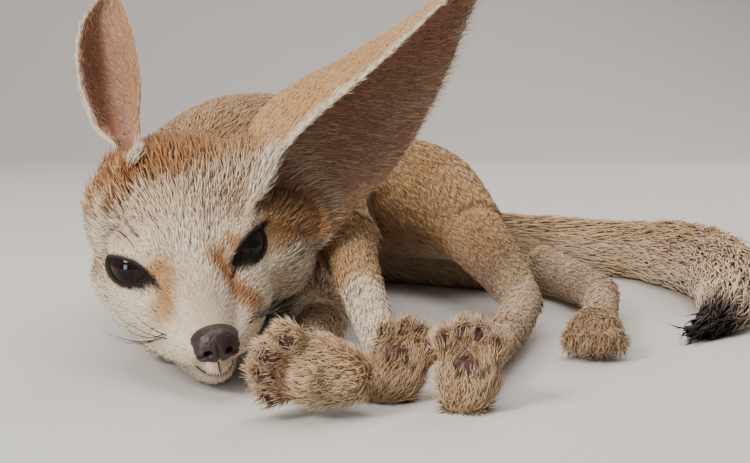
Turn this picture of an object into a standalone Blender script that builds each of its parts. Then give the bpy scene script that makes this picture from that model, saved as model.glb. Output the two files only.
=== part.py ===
# Fennec fox lying down, life size, as a museum model: chin on the floor, forepaws stretched out beside
# the muzzle, body curled to its left and the tail laid round the hind feet.
# The named sizes are in millimetres and are turned into metres as each shape is made.
# The head is built in its own frame: X forwards, Y to the fox's left, Z up, from the middle of the eyes.

import math
import random

import bmesh
import bpy
from mathutils import Matrix, Vector
from mathutils.bvhtree import BVHTree

MM = 0.001
GAP = 0.3
FLOOR_DEPTH = 30.0
NEEDLE = 0.002

# Where the head lies and how it is turned
HEAD_PLACE = (-53.0, 0.0, 34.5)
HEAD_TURN = 16.0
HEAD_NOD = -11.0
HEAD_ROLL = 10.0

# Eyes
EYE_RADIUS = 8.6
EYE_PLACE = (-4.1, 14.2, -0.2)
EYE_OUTWARD = 30.0
EYE_UPWARD = 8.0
LID_THICK = 2.0
LID_OPENING = (15.0, 7.6)
LID_DEPTH = 7.0
LID_INNER_SHARE = 0.52
LID_SLANT = 21.0

# Nose leather
NOSE_PLACE = (33.6, 0.0, -13.0)
NOSE_RADII = (4.6, 6.3, 5.0)
NOSE_TOP = ((-1.6, 0.0, 1.2), (4.2, 6.6, 3.6))
NOSE_WING = ((0.6, 3.6, -1.0), (3.4, 2.7, 3.0))
NOSE_VOXEL = 0.45
NOSE_TRIANGLES = 300
NOSTRIL_PLACE = (4.4, 2.9, -0.9)
NOSTRIL_RADIUS = 1.25

# Mouth: a slit along the muzzle that rises towards its corners
MOUTH_CORNER = 9.0
MOUTH_FRONT = 40.0
MOUTH_HEIGHT = -20.6
MOUTH_RISE = 3.0
MOUTH_WIDE = 0.7

# Ears: how thick the sheet is, and the points along and across it that are joined
EAR_THICK = 2.0
EAR_ROWS = 22
EAR_COLUMNS = 9

# Paws
TOE_SPREAD = 5.3
TOE_REACH = 9.5
TOE_STEP = 3.3
TOE_RADIUS = 3.6
TOE_ROOT = (0.6, -1.0)
PAW_BALLS = (
    ((-4.5, 0.0, -1.5), (10.5, 9.6, 7.2)),
    ((-9.0, 0.0, -2.0), (9.0, 8.0, 7.0)),
    ((-1.5, 0.0, 4.4), (4.4, 5.6, 2.9)),
)
TOE_PAD = ((-0.5, 0.0, 2.9), (3.4, 2.5, 2.0))
CLAW_LENGTH = 7.0
CLAW_RADIUS = 1.15
CLAW_BEND = 58.0
CLAW_SUNK = 3.4
CLAW_DROP = 0.6
CLAW_STRETCH = (1.1, 0.9)
CLAW_TAPER = 0.93

# Locks of long fur: the brush of the tail, the ruff of the left cheek and the fringe of the ears
TAIL_LOCK = (40.0, 20.0, 4.5)
TAIL_ROWS = 6
TAIL_ROUND = 7
TAIL_STEPS = 12
TAIL_BARE = 39
TAIL_END = 13
TAIL_ROOT = 0.72
TAIL_LEAN = 0.9
RUFF_LOCK = (15.0, 8.0, 2.6)
RUFF_ROWS = (-17.0, -27.0)
RUFF_REACH = 34.0
RUFF_COUNT = 5
RUFF_TOP = 4.0
RUFF_STEP = 7.0
RUFF_MIDDLE = -9.0
RUFF_CURVE = 0.028
RUFF_WAY = (-0.62, 0.70, -0.32)
RUFF_BEND = -2.0
FRINGE_LOCK = (14.0, 5.0, 1.5)
FRINGE_STRETCH = (0.32, 0.72)
FRINGE_WAY = (0.8, 0.35)
FRINGE_BEND = 1.5
FRINGE_FRONT = 6
FRINGE_REAR = 4
LOCK_SEED = 7

# How finely the flesh is modelled, and the triangles that are kept
BODY_VOXEL = 1.8
HEAD_VOXEL = 0.9
PAW_VOXEL = 0.75
EAR_VOXEL = 0.8
BODY_TRIANGLES = 1700
HEAD_TRIANGLES = 1250
PAW_TRIANGLES = 280
EAR_TRIANGLES = 400

COAT = ((0.62, 0.42, 0.24), 0.9)
CREAM = ((0.80, 0.72, 0.58), 0.9)
DARK_SKIN = ((0.05, 0.03, 0.03), 0.45)
EYE_BROWN = ((0.02, 0.012, 0.008), 0.05)
CLAW_HORN = ((0.30, 0.16, 0.08), 0.4)


def clear_scene():
    for old in list(bpy.data.objects):
        bpy.data.objects.remove(old, do_unlink=True)


def collection(name):
    made = bpy.data.collections.new(name)
    bpy.context.scene.collection.children.link(made)
    return made


def material(name, look):
    colour, roughness = look
    made = bpy.data.materials.new(name)
    made.use_nodes = True
    shader = made.node_tree.nodes["Principled BSDF"]
    shader.inputs["Base Color"].default_value = (*colour, 1.0)
    shader.inputs["Roughness"].default_value = roughness
    shader.inputs["Metallic"].default_value = 0.0
    return made


def metres(point):
    return Vector(point) * MM


def head_frame():
    """The matrix that carries head millimetres to the fox's place on the floor, in millimetres."""
    turn, nod, roll = (math.radians(a) for a in (HEAD_TURN, HEAD_NOD, HEAD_ROLL))
    forward = Vector((math.sin(turn) * math.cos(nod), -math.cos(turn) * math.cos(nod), math.sin(nod)))
    level = Vector((math.cos(turn), math.sin(turn), 0.0))
    upright = forward.cross(level)
    left = level * math.cos(roll) + upright * math.sin(roll)
    up = upright * math.cos(roll) - level * math.sin(roll)
    return Matrix.Translation(HEAD_PLACE) @ Matrix((forward, left, up)).transposed().to_4x4()


def axes_frame(place, along, facing):
    """A frame at place with X along one direction and Z as near as it can be to another."""
    x = Vector(along).normalized()
    y = Vector(facing).cross(x).normalized()
    return Matrix.Translation(place) @ Matrix((x, y, x.cross(y))).transposed().to_4x4()


def smooth_path(points, steps):
    """Points on a smooth curve through the given ones, whose last number may be a radius."""
    rows = [Vector(p) for p in points]
    rows = [rows[0] * 2 - rows[1]] + rows + [rows[-1] * 2 - rows[-2]]
    path = []
    for before, start, end, after in zip(rows, rows[1:], rows[2:], rows[3:]):
        for step in range(steps):
            t = step / steps
            path.append(
                0.5
                * (
                    2 * start
                    + (end - before) * t
                    + (2 * before - 5 * start + 4 * end - after) * t**2
                    + (3 * start - before - 3 * end + after) * t**3
                )
            )
    return path + [rows[-2]]


def add_ball(form, place, radii, frame=None, segments=20):
    """An ellipsoid in millimetres, in a frame, added to a bmesh in metres."""
    frame = frame or Matrix.Identity(4)
    matrix = Matrix.Scale(MM, 4) @ frame @ Matrix.Translation(place) @ Matrix.Diagonal((*radii, 1.0))
    ball = unit_ball(segments).copy()
    ball.transform(matrix)
    form.from_mesh(ball)
    bpy.data.meshes.remove(ball)


def unit_ball(segments):
    """A ball of radius 1, made once for each fineness."""
    name = f"ball {segments}"
    if name not in bpy.data.meshes:
        form = bmesh.new()
        bmesh.ops.create_uvsphere(form, u_segments=segments, v_segments=segments * 2 // 3, radius=1.0)
        form.to_mesh(bpy.data.meshes.new(name))
        form.free()
    return bpy.data.meshes[name]


def add_limb(form, points, frame=None, steps=8):
    """A tapered limb: balls set close together along a smooth path of (x, y, z, radius)."""
    for x, y, z, radius in smooth_path(points, steps):
        add_ball(form, (x, y, z), (radius, radius, radius), frame)


def object_from(form, name, home):
    mesh = bpy.data.meshes.new(name)
    form.to_mesh(mesh)
    form.free()
    made = bpy.data.objects.new(name, mesh)
    home.objects.link(made)
    return made


def apply_modifiers(piece):
    """Keeps the piece as its modifiers show it."""
    graph = bpy.context.evaluated_depsgraph_get()
    mesh = bpy.data.meshes.new_from_object(piece.evaluated_get(graph))
    piece.modifiers.clear()
    piece.data = mesh


def dress(piece, look):
    """Gives a piece its one material."""
    piece.data.materials.clear()
    piece.data.materials.append(bpy.data.materials[look])
    for face in piece.data.polygons:
        face.material_index = 0


# Rings of a lock: share of its length and share of its width
LOCK_RINGS = ((-0.12, 0.8), (0.22, 1.0), (0.66, 0.62))


def add_lock(locks, root, along, outward, size, bend):
    """A flat lock that tapers to a point: three sides, widest near its root, bent away as it goes."""
    length, width, thick = size
    ahead = Vector(along).normalized()
    side = Vector(outward).cross(ahead).normalized()
    out = ahead.cross(side).normalized()
    form = bmesh.new()
    rows = []
    for share, size_there in LOCK_RINGS:
        middle = Vector(root) + ahead * length * share + out * bend * max(share, 0.0) ** 2
        offsets = (side * width / 2, out * thick * 0.66, -side * width / 2)
        rows.append([form.verts.new(metres(middle + offset * size_there)) for offset in offsets])
    tip = form.verts.new(metres(Vector(root) + ahead * length + out * bend))
    form.faces.new(rows[0])
    for low, high in zip(rows, rows[1:]):
        for i in range(3):
            form.faces.new((low[i], low[i - 1], high[i - 1], high[i]))
    for i in range(3):
        form.faces.new((rows[-1][i], rows[-1][i - 1], tip))
    bmesh.ops.recalc_face_normals(form, faces=form.faces)
    bmesh.ops.triangulate(form, faces=form.faces)
    hide_cutter(object_from(form, "lock", locks))


def fuse_locks(piece, locks):
    """Joins a collection of locks to the piece that they grow from."""
    carve(piece, locks, operation="UNION", solver="MANIFOLD")
    empty_out(locks)
    keep_largest(piece)
    piece.data.materials.clear()


def mould(piece, voxel, smoothing, triangles):
    """Melts the overlapping forms of a piece into one smooth skin of about so many triangles."""
    remesh = piece.modifiers.new("melt", "REMESH")
    remesh.mode = "VOXEL"
    remesh.voxel_size = voxel * MM
    ease = piece.modifiers.new("ease", "SMOOTH")
    ease.factor = 0.5
    ease.iterations = smoothing
    apply_modifiers(piece)
    thin = piece.modifiers.new("thin", "DECIMATE")
    thin.ratio = triangles / (2 * len(piece.data.polygons))
    apply_modifiers(piece)


def swollen(piece, name, home, by):
    """A copy of a closed piece, larger all round, to cut clearance from its neighbours."""
    copy = bpy.data.objects.new(name, piece.data.copy())
    copy.matrix_world = piece.matrix_world
    home.objects.link(copy)
    swell = copy.modifiers.new("swell", "DISPLACE")
    swell.strength = by * MM
    swell.mid_level = 0.0
    apply_modifiers(copy)
    hide_cutter(copy)
    return copy


def hide_cutter(piece):
    piece.hide_render = True
    piece.display_type = "WIRE"


def carve(piece, cutters, operation="DIFFERENCE", solver="EXACT"):
    """Cuts, joins or keeps what is common with every object of a collection."""
    cut = piece.modifiers.new("carve", "BOOLEAN")
    cut.operation = operation
    cut.operand_type = "COLLECTION"
    cut.collection = cutters
    cut.solver = solver
    apply_modifiers(piece)


def empty_out(cutters):
    for tool in list(cutters.objects):
        bpy.data.objects.remove(tool, do_unlink=True)
    bpy.data.collections.remove(cutters)


def add_disc(cutters, place, normal, radius):
    """A round cut, one gap thick, across a limb."""
    form = bmesh.new()
    facing = Vector(normal).to_track_quat("Z", "Y").to_matrix().to_4x4()
    bmesh.ops.create_cone(
        form,
        cap_ends=True,
        segments=32,
        radius1=radius * MM,
        radius2=radius * MM,
        depth=GAP * MM,
        matrix=Matrix.Translation(metres(place)) @ facing,
    )
    hide_cutter(object_from(form, "disc", cutters))


def add_shell(cutters, place, along, radii):
    """A hollow egg, one gap thick, that parts a limb from the body that it lies on."""
    form = bmesh.new()
    frame = axes_frame(place, along, (0.0, 0.3, 1.0))
    add_ball(form, (0.0, 0.0, 0.0), radii, frame, segments=14)
    inner = [r - GAP for r in radii]
    before = len(form.faces)
    add_ball(form, (0.0, 0.0, 0.0), inner, frame, segments=14)
    form.faces.ensure_lookup_table()
    bmesh.ops.reverse_faces(form, faces=form.faces[before:])
    hide_cutter(object_from(form, "shell", cutters))


# Body. Each row is x, y, z and the radius there, from the neck to the root of the tail.
SPINE = (
    (-62, 52, 35, 25),
    (-59, 84, 36, 34),
    (-55, 114, 39, 40),
    (-48, 148, 41, 42.5),
    (-36, 184, 39, 40.5),
    (-16, 214, 33.5, 36),
    (4, 230, 29, 31),
    (22, 238, 25, 24),
)
TAIL = (
    (20, 238, 24, 15),
    (52, 244, 14, 14),
    (90, 234, 11.5, 17),
    (118, 205, 12, 20),
    (132, 163, 12.3, 21),
    (132, 122, 11, 19),
    (124, 90, 8, 14),
    (115, 72, 4.5, 8),
    (108, 62, 4, 4),
)

# The tail's flesh and dense under-fur reach this share of the way to the tips of its locks
TAIL_CORE = (1.0, 0.92, 0.72, 0.62, 0.60, 0.60, 0.60, 0.60, 0.60)

# Forelegs: shoulder, elbow and wrist
ARM_LEFT = ((-30, 108, 50, 24), (-19, 82, 43, 17), (-10, 56, 35, 11.5))
FOREARM_LEFT = ((-10, 56, 35, 11.5), (-6, 28, 28, 8.6), (0, -6, 17, 7.0), (3, -19, 12, 7.0))
ARM_RIGHT = ((-34, 112, 20, 18), (-21, 84, 13, 12), (-17, 56, 8.6, 9.2))
FOREARM_RIGHT = ((-17, 56, 8.6, 9.2), (-20, 14, 7.4, 7.4), (-20, -22, 8.5, 6.8), (-16, -38, 11.5, 7.0))

# Hind legs: hip, knee and hock. The right one lies folded under the left.
THIGH_LEFT = ((2, 208, 34, 30), (20, 180, 36, 25), (36, 140, 30, 15))
SHANK_LEFT = ((36, 140, 29, 14), (45, 104, 19, 10.5), (50, 72, 11, 8.0))
FOOT_LEFT = ((50, 72, 11, 8.0), (43, 40, 7.6, 7.4), (30.5, -6, 7.2, 7.2), (26, -25, 9.6, 7.2))
THIGH_RIGHT = ((6, 204, 18, 20), (34, 188, 14, 16), (66, 168, 11, 11))
SHANK_RIGHT = ((66, 168, 10.5, 10.5), (76, 140, 9, 9), (82, 112, 8, 8.4))
FOOT_RIGHT = ((82, 112, 8, 8.4), (78, 80, 7, 7.2), (71, 48, 7.2, 7.6))

LEG_LINES = (ARM_LEFT, ARM_RIGHT, FOREARM_LEFT, FOREARM_RIGHT, THIGH_LEFT, THIGH_RIGHT)
LEG_LINES += (SHANK_LEFT, SHANK_RIGHT, FOOT_LEFT, FOOT_RIGHT)

# Each paw: its middle, the way its toes point, the way its sole faces and its size
PAWS = {
    "forepaw_left": ((6.6, -25, 10.2), (0.40, 0.45, 0.80), (-0.05, -0.86, 0.50), 0.84),
    "forepaw_right": ((-18.0, -49, 12.6), (-0.95, -0.12, 0.26), (-0.14, -0.96, -0.16), 1.0),
    "hindpaw_left": ((24.3, -38, 11.6), (0.10, 0.24, 0.96), (-0.10, -0.97, 0.22), 0.86),
    "hindpaw_right": ((68.5, 34, 6.4), (-0.14, -0.98, 0.0), (0.0, 0.0, -1.0), 0.86),
}


def paw_frame(name):
    place, toes, sole, size = PAWS[name]
    return axes_frame(place, toes, sole) @ Matrix.Scale(size, 4)


def toe_rows():
    """Side offset and reach of the four toes, the middle pair longest."""
    sides = (-1.5, -0.5, 0.5, 1.5)
    return [(TOE_SPREAD * side, TOE_REACH - TOE_STEP * (abs(side) - 0.5) ** 1.4) for side in sides]


def make_paw(home, name, body_cutters):
    """Palm, four toes and their pads. In the paw's frame X runs to the toes and Z out of the sole."""
    frame = paw_frame(name)
    form = bmesh.new()
    for middle, radii in PAW_BALLS:
        add_ball(form, middle, radii, frame)
    across, depth = TOE_ROOT
    (onward, _, up), radii = TOE_PAD
    for side, reach in toe_rows():
        root = (0.0, side * across, depth, TOE_RADIUS)
        add_limb(form, (root, (reach, side, 0.0, TOE_RADIUS)), frame, steps=4)
        add_ball(form, (reach + onward, side, up), radii, frame)
    paw = object_from(form, name, home)
    mould(paw, PAW_VOXEL, 2, PAW_TRIANGLES)
    swollen(paw, "clearance of " + name, body_cutters, GAP)
    cutters = collection("paw cutters")
    add_floor(cutters)
    for number, (side, reach) in enumerate(toe_rows(), start=1):
        claw = add_claw(f"claw_{name}_{number}", home, frame, side, reach, 0.0)
        dress(claw, "horn")
        for home_of_cutter in (cutters, body_cutters):
            hide_cutter(add_claw(f"socket_{name}_{number}", home_of_cutter, frame, side, reach, GAP))
    carve(paw, cutters)
    empty_out(cutters)
    keep_largest(paw)
    dress(paw, "coat")


def claw_path(side, reach):
    """Centre line of a claw in the paw's frame: out of the toe and bent over towards the sole."""
    rows = []
    whole = math.radians(CLAW_BEND)
    along, over = CLAW_STRETCH
    for step in range(5):
        t = step / 4
        bend = whole * t
        onward = reach + TOE_RADIUS - CLAW_SUNK + along * CLAW_LENGTH * math.sin(bend) / whole
        up = over * CLAW_LENGTH * (1 - math.cos(bend)) - CLAW_DROP
        rows.append((onward, side * (1.0 + 0.05 * t), up, 1.0 - CLAW_TAPER * t))
    return rows


def add_claw(name, home, frame, side, reach, extra):
    """A tapering horn made as a curve and turned into a mesh; extra makes the cutter for its socket."""
    curve = bpy.data.curves.new(name, "CURVE")
    curve.dimensions = "3D"
    curve.bevel_depth = 1.0
    curve.bevel_resolution = 0
    curve.use_fill_caps = True
    rows = claw_path(side, reach)
    line = curve.splines.new("POLY")
    line.points.add(len(rows) - 1)
    for point, (x, y, z, share) in zip(line.points, rows):
        place = metres(frame @ Vector((x, y, z)))
        point.co = (*place, 1.0)
        point.radius = (CLAW_RADIUS * share + extra) * MM
    shape = bpy.data.objects.new(name + "_line", curve)
    home.objects.link(shape)
    graph = bpy.context.evaluated_depsgraph_get()
    mesh = bpy.data.meshes.new_from_object(shape.evaluated_get(graph))
    bpy.data.objects.remove(shape, do_unlink=True)
    form = bmesh.new()
    form.from_mesh(mesh)
    bmesh.ops.remove_doubles(form, verts=form.verts, dist=0.01 * MM)
    bmesh.ops.recalc_face_normals(form, faces=form.faces)
    return object_from(form, name, home)


def add_floor(cutters):
    """Everything below the floor is cut off, which leaves the flats that the fox rests on."""
    form = bmesh.new()
    size = 900.0
    bmesh.ops.create_cube(
        form,
        size=1.0,
        matrix=Matrix.Translation((0.0, 0.1, -FLOOR_DEPTH / 2 * MM))
        @ Matrix.Diagonal((size * MM, size * MM, FLOOR_DEPTH * MM, 1.0)),
    )
    hide_cutter(object_from(form, "floor", cutters))


# Points inside each length of the body, to tell the parts by once they are cut
PARTS_OF_BODY = {
    "neck": (-61, 58, 40),
    "torso_front": (-50, 130, 46),
    "torso_rear": (-18, 222, 34),
    "foreleg_left_upper": (-20, 80, 44),
    "foreleg_left_lower": (-4, 12, 25),
    "foreleg_right": (-22, 10, 10),
    "hindleg_left_thigh": (20, 180, 38),
    "hindleg_left_shank": (48, 86, 16),
    "hindfoot_left": (36, 20, 10),
    "hindleg_right": (76, 140, 9),
    "hindfoot_right": (77, 72, 7),
    "tail_base": (80, 238, 20),
    "tail_brush": (131, 150, 20),
}


# Round cuts across the body: middle, the way the limb runs there and radius. In order: neck, middle of the
# torso, right wrist, left ankle, right knee, right ankle, root of the tail and root of its brush.
BODY_DISCS = (
    ((-63, 64, 35), (0.08, 1.0, 0.05), 35),
    ((-47, 158, 44), (0.22, 0.97, 0.0), 46),
    ((-17.6, 48, 9), (0.05, -1.0, 0.0), 12.5),
    ((48.5, 76, 13.5), (0.2, 1.0, 0.1), 14),
    ((50, 178, 12.5), (0.85, -0.53, 0.0), 17),
    ((81, 106, 9), (0.1, 1.0, 0.0), 13),
    ((36, 240, 24), (1.0, 0.05, -0.1), 24),
    ((117, 207, 20), (0.66, -0.75, 0.0), 26),
)

# Egg-shaped cuts round the left upper arm and thigh: middle, long direction and radii
BODY_SHELLS = (
    ((-19, 80, 44), (15, -56, -13), (38, 21, 22)),
    ((17, 178, 34), (32, -64, -3), (50, 29, 30)),
)


def add_body_cuts(cutters):
    """Thin cuts where a person would name the parts."""
    add_floor(cutters)
    for place, normal, radius in BODY_DISCS:
        add_disc(cutters, place, normal, radius)
    for place, along, radii in BODY_SHELLS:
        add_shell(cutters, place, along, radii)


def make_body(home, cutters):
    """Neck, torso, legs and tail modelled whole, cleared of their neighbours and parted with thin cuts."""
    form = bmesh.new()
    tail_core = [(x, y, z, radius * core) for (x, y, z, radius), core in zip(TAIL, TAIL_CORE)]
    for line in (SPINE, tail_core, *LEG_LINES):
        add_limb(form, line)
    body = object_from(form, "body", home)
    mould(body, BODY_VOXEL, 5, BODY_TRIANGLES)
    add_body_cuts(cutters)
    carve(body, cutters, solver="MANIFOLD")
    empty_out(cutters)
    name_loose_parts(body, home)
    grow_tail_brush(bpy.data.objects["tail_brush"])


def grow_tail_brush(tail):
    """Rows of overlapping locks that follow the tail to its tip, the last ones meeting in a point."""
    chance = random.Random(LOCK_SEED)
    locks = collection("tail locks")
    path = smooth_path(TAIL, TAIL_STEPS)
    cores = smooth_path([(core, 0.0) for core in TAIL_CORE], TAIL_STEPS)
    last = len(path) - TAIL_END
    for row in range(TAIL_ROWS):
        index = round(TAIL_BARE + (last - TAIL_BARE) * row / (TAIL_ROWS - 1))
        centre, radius = path[index].to_3d(), path[index][3]
        onward = (path[index + 3].to_3d() - path[index - 3].to_3d()).normalized()
        ahead = path[min(index + 9, len(path) - 1)]
        lean = max(radius * (TAIL_LEAN - cores[index][0] * TAIL_ROOT), 1.0) * ahead[3] / radius
        around = TAIL_ROUND if radius > 17 else TAIL_ROUND - 2
        for number in range(around):
            angle = math.tau * (number + 0.5 * (row % 2)) / around + chance.uniform(-0.12, 0.12)
            level = onward.cross((0, 0, 1)).normalized()
            out = level * math.cos(angle) + level.cross(onward) * math.sin(angle)
            length, width, thick = TAIL_LOCK
            length *= chance.uniform(0.85, 1.1) * (0.55 + 0.45 * radius / 20.0)
            width *= 0.35 + 0.65 * radius / 20.0
            root = centre + out * radius * cores[index][0] * TAIL_ROOT
            way = onward * length + out * lean
            way += (ahead.to_3d() - centre).normalized() * length * 0.35
            add_lock(locks, root, way, out, (length, width, thick), -lean * 0.25)
    fuse_locks(tail, locks)
    cutters = collection("tail cutters")
    add_floor(cutters)
    carve(tail, cutters, solver="MANIFOLD")
    empty_out(cutters)
    keep_largest(tail)
    dress(tail, "coat")


def closed_surfaces(form):
    """The faces of a bmesh, sorted into its separate closed surfaces."""
    unseen = set(form.faces)
    surfaces = []
    while unseen:
        face = unseen.pop()
        surface, edge = {face}, [face]
        while edge:
            for side in edge.pop().edges:
                for other in side.link_faces:
                    if other in unseen:
                        unseen.discard(other)
                        surface.add(other)
                        edge.append(other)
        surfaces.append(surface)
    return surfaces


def only_faces(form, kept):
    """A copy of a bmesh with only some of its faces, cleaned of needles."""
    numbers = {face.index for face in kept}
    part = form.copy()
    bmesh.ops.delete(part, geom=[f for f in part.faces if f.index not in numbers], context="FACES")
    return without_needles(part)


def without_needles(form):
    """The same bmesh with its needles dissolved, or as it came where that would open it."""
    cleaned = form.copy()
    bmesh.ops.dissolve_degenerate(cleaned, dist=NEEDLE * MM, edges=cleaned.edges)
    closed = all(len(edge.link_faces) == 2 for edge in cleaned.edges)
    kept, dropped = (cleaned, form) if closed else (form, cleaned)
    dropped.free()
    return kept


def name_loose_parts(whole, home):
    """Makes an object of each surface of the parted body that lies nearest to a part's inner point."""
    form = bmesh.new()
    form.from_mesh(whole.data)
    form.faces.index_update()
    trees = []
    for surface in closed_surfaces(form):
        if len(surface) > 30:
            part = only_faces(form, surface)
            trees.append((part, BVHTree.FromBMesh(part)))
    named = {}
    for name, place in PARTS_OF_BODY.items():
        distances = [tree.find_nearest(metres(place))[3] for _, tree in trees]
        nearest = distances.index(min(distances))
        if nearest in named:
            raise RuntimeError(f"{name} and {named[nearest]} are one piece")
        named[nearest] = name
    for number, (part, _) in enumerate(trees):
        if number in named:
            dress(object_from(part, named[number], home), "coat")
        else:
            part.free()
    form.free()
    bpy.data.objects.remove(whole, do_unlink=True)


# Head masses in the head's frame: middle, radii and whether the other side has the same. In order: braincase,
# brow, orbits, right cheek pressed in, throat and root of the left ear.
SKULL_MASSES = (
    ((-27, 1.2, 5), (27, 26.8, 23), False),
    ((-9, 0, 1), (17, 22, 15.5), False),
    ((-3, 13, -4), (14, 11, 11), True),
    ((-20, -15, -9), (15, 12, 12), False),
    ((-26, 0, -23), (24, 19, 18), False),
    ((-24, 20, 12), (12, 11, 12), False),
)
MUZZLE = ((-6, 0, -8, 16), (7, 0, -8.8, 12), (18, 0, -11, 9.2), (28, 0, -13.2, 6.8), (31, 0, -13.8, 6.2))
JAW = ((-16, 0, -25, 13.5), (2, 0, -25.2, 10.3), (16, 0, -24.6, 7.8), (25, 0, -23, 5.6), (28.5, 0, -21.8, 4.5))
LEFT_LIP = (
    (-12, 13.5, -8.5, 12.5),
    (0, 12.4, -11, 11),
    (10, 10.4, -13.6, 8.8),
    (19, 8, -15.8, 6.8),
    (26, 5.6, -16.6, 5.2),
)
LEFT_CHEEK = ((-4, 15, -7, 11), (-10, 22, -9, 12), (-20, 26, -11, 13.5))
LEFT_TEMPLE = ((-10, 16, 3, 9), (-17, 25, 0, 10.5), (-24, 33, -5, 12))
RIGHT_LIP = tuple((x, -y, z, radius) for x, y, z, radius in LEFT_LIP)


def eye_frame(side):
    """A frame at the middle of an eyeball with X out along the gaze, and Z up across the lids."""
    x, y, z = EYE_PLACE
    outward, upward = math.radians(EYE_OUTWARD), math.radians(EYE_UPWARD)
    gaze = Vector((math.cos(outward) * math.cos(upward), side * math.sin(outward), math.sin(upward)))
    level = axes_frame((x, side * y, z), gaze, (0.0, 0.0, 1.0))
    return head_frame() @ level @ Matrix.Rotation(math.radians(side * LID_SLANT), 4, "X")


def lid_outline(steps, side):
    """A drop: round at the outer corner of the eye, longer and pointed towards the nose."""
    wide, high = LID_OPENING
    rows = []
    for step in range(2 * steps):
        angle = math.pi * step / steps
        share = math.cos(angle)
        inner = share < 0.0
        across = share * wide * (LID_INNER_SHARE if inner else 1.0 - LID_INNER_SHARE)
        slimmer = (0.5 if inner else 0.12) * share**2
        rows.append((side * across, math.sin(angle) * high / 2 * (1.0 - slimmer)))
    return rows


def add_lid_opening(cutters, side):
    """The almond between the lids, as a short prism along the gaze."""
    curve = bpy.data.curves.new("opening", "CURVE")
    curve.dimensions = "2D"
    curve.fill_mode = "BOTH"
    curve.extrude = LID_DEPTH * MM
    line = curve.splines.new("POLY")
    rows = lid_outline(9, side)
    line.points.add(len(rows) - 1)
    for point, (across, up) in zip(line.points, rows):
        point.co = (across * MM, up * MM, 0.0, 1.0)
    line.use_cyclic_u = True
    shape = bpy.data.objects.new("opening", curve)
    lying = Matrix(((0, 0, 1, 0), (1, 0, 0, 0), (0, 1, 0, 0), (0, 0, 0, 1)))
    place = eye_frame(side) @ Matrix.Translation((EYE_RADIUS + LID_DEPTH / 2, 0.0, 0.0)) @ lying
    place.translation *= MM
    shape.matrix_world = place
    bpy.context.scene.collection.objects.link(shape)
    bpy.context.view_layer.update()
    graph = bpy.context.evaluated_depsgraph_get()
    form = bmesh.new()
    form.from_mesh(bpy.data.meshes.new_from_object(shape.evaluated_get(graph)))
    form.transform(shape.matrix_world)
    bpy.data.objects.remove(shape, do_unlink=True)
    bmesh.ops.remove_doubles(form, verts=form.verts, dist=0.01 * MM)
    bmesh.ops.recalc_face_normals(form, faces=form.faces)
    hide_cutter(object_from(form, "lid opening", cutters))


def add_mouth_slit(cutters):
    """A thin sheet that curves up towards the corners of the mouth."""
    form = bmesh.new()
    bmesh.ops.create_grid(form, x_segments=10, y_segments=8, size=0.5)
    for v in form.verts:
        along = MOUTH_CORNER + (MOUTH_FRONT - MOUTH_CORNER) * (v.co.x + 0.5)
        across = v.co.y * 44.0
        back = 1 - (v.co.x + 0.5)
        rise = MOUTH_RISE * back**2 - 0.9 * (abs(across) / 8.0) ** 1.5 * (1 - back)
        v.co = (along, across, MOUTH_HEIGHT + rise)
    form.transform(Matrix.Scale(MM, 4) @ head_frame())
    slit = object_from(form, "mouth slit", cutters)
    thick = slit.modifiers.new("thick", "SOLIDIFY")
    thick.thickness = MOUTH_WIDE * MM
    thick.offset = 0.0
    apply_modifiers(slit)
    hide_cutter(slit)


def add_nose(home, head_cutters):
    """The nose leather: a rounded block with two nostrils and the groove between them."""
    frame = head_frame()
    form = bmesh.new()
    add_ball(form, NOSE_PLACE, NOSE_RADII, frame, segments=24)
    x, y, z = NOSE_PLACE
    (onward, out, up), radii = NOSE_TOP
    add_ball(form, (x + onward, y + out, z + up), radii, frame, segments=24)
    (onward, out, up), radii = NOSE_WING
    for side in (-1, 1):
        add_ball(form, (x + onward, y + side * out, z + up), radii, frame, segments=16)
    nose = object_from(form, "nose", home)
    mould(nose, NOSE_VOXEL, 3, NOSE_TRIANGLES)
    cutters = collection("nostrils")
    for side in (-1, 1):
        form = bmesh.new()
        fx, fy, fz = NOSTRIL_PLACE
        start = (x + fx - 2.4, y + side * (fy - 0.8), z + fz - 0.2, NOSTRIL_RADIUS * 0.8)
        mouth = (x + fx + 0.6, y + side * (fy + 0.3), z + fz, NOSTRIL_RADIUS)
        comma = (x + fx - 1.2, y + side * (fy + 3.2), z + fz - 0.9, NOSTRIL_RADIUS * 0.6)
        add_limb(form, (start, mouth, comma), frame, steps=4)
        hole = object_from(form, "nostril", cutters)
        mould(hole, 0.3, 1, 80)
        hide_cutter(hole)
    form = bmesh.new()
    groove_rows = ((x + 4.9, y, z + 1.5, 0.42), (x + 4.2, y, z - 3.0, 0.5), (x + 2.4, y, z - 6.5, 0.5))
    add_limb(form, groove_rows, frame, steps=6)
    groove = object_from(form, "groove", cutters)
    mould(groove, 0.25, 0, 60)
    hide_cutter(groove)
    carve(nose, cutters)
    empty_out(cutters)
    keep_largest(nose)
    dress(nose, "leather")
    swollen(nose, "nose clearance", head_cutters, GAP)
    return nose


def keep_largest(piece):
    """Drops every closed surface of a piece but the one with the most faces, and its needles."""
    form = bmesh.new()
    form.from_mesh(piece.data)
    largest = max(closed_surfaces(form), key=len)
    bmesh.ops.delete(form, geom=[f for f in form.faces if f not in largest], context="FACES")
    form = without_needles(form)
    form.to_mesh(piece.data)
    form.free()


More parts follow.
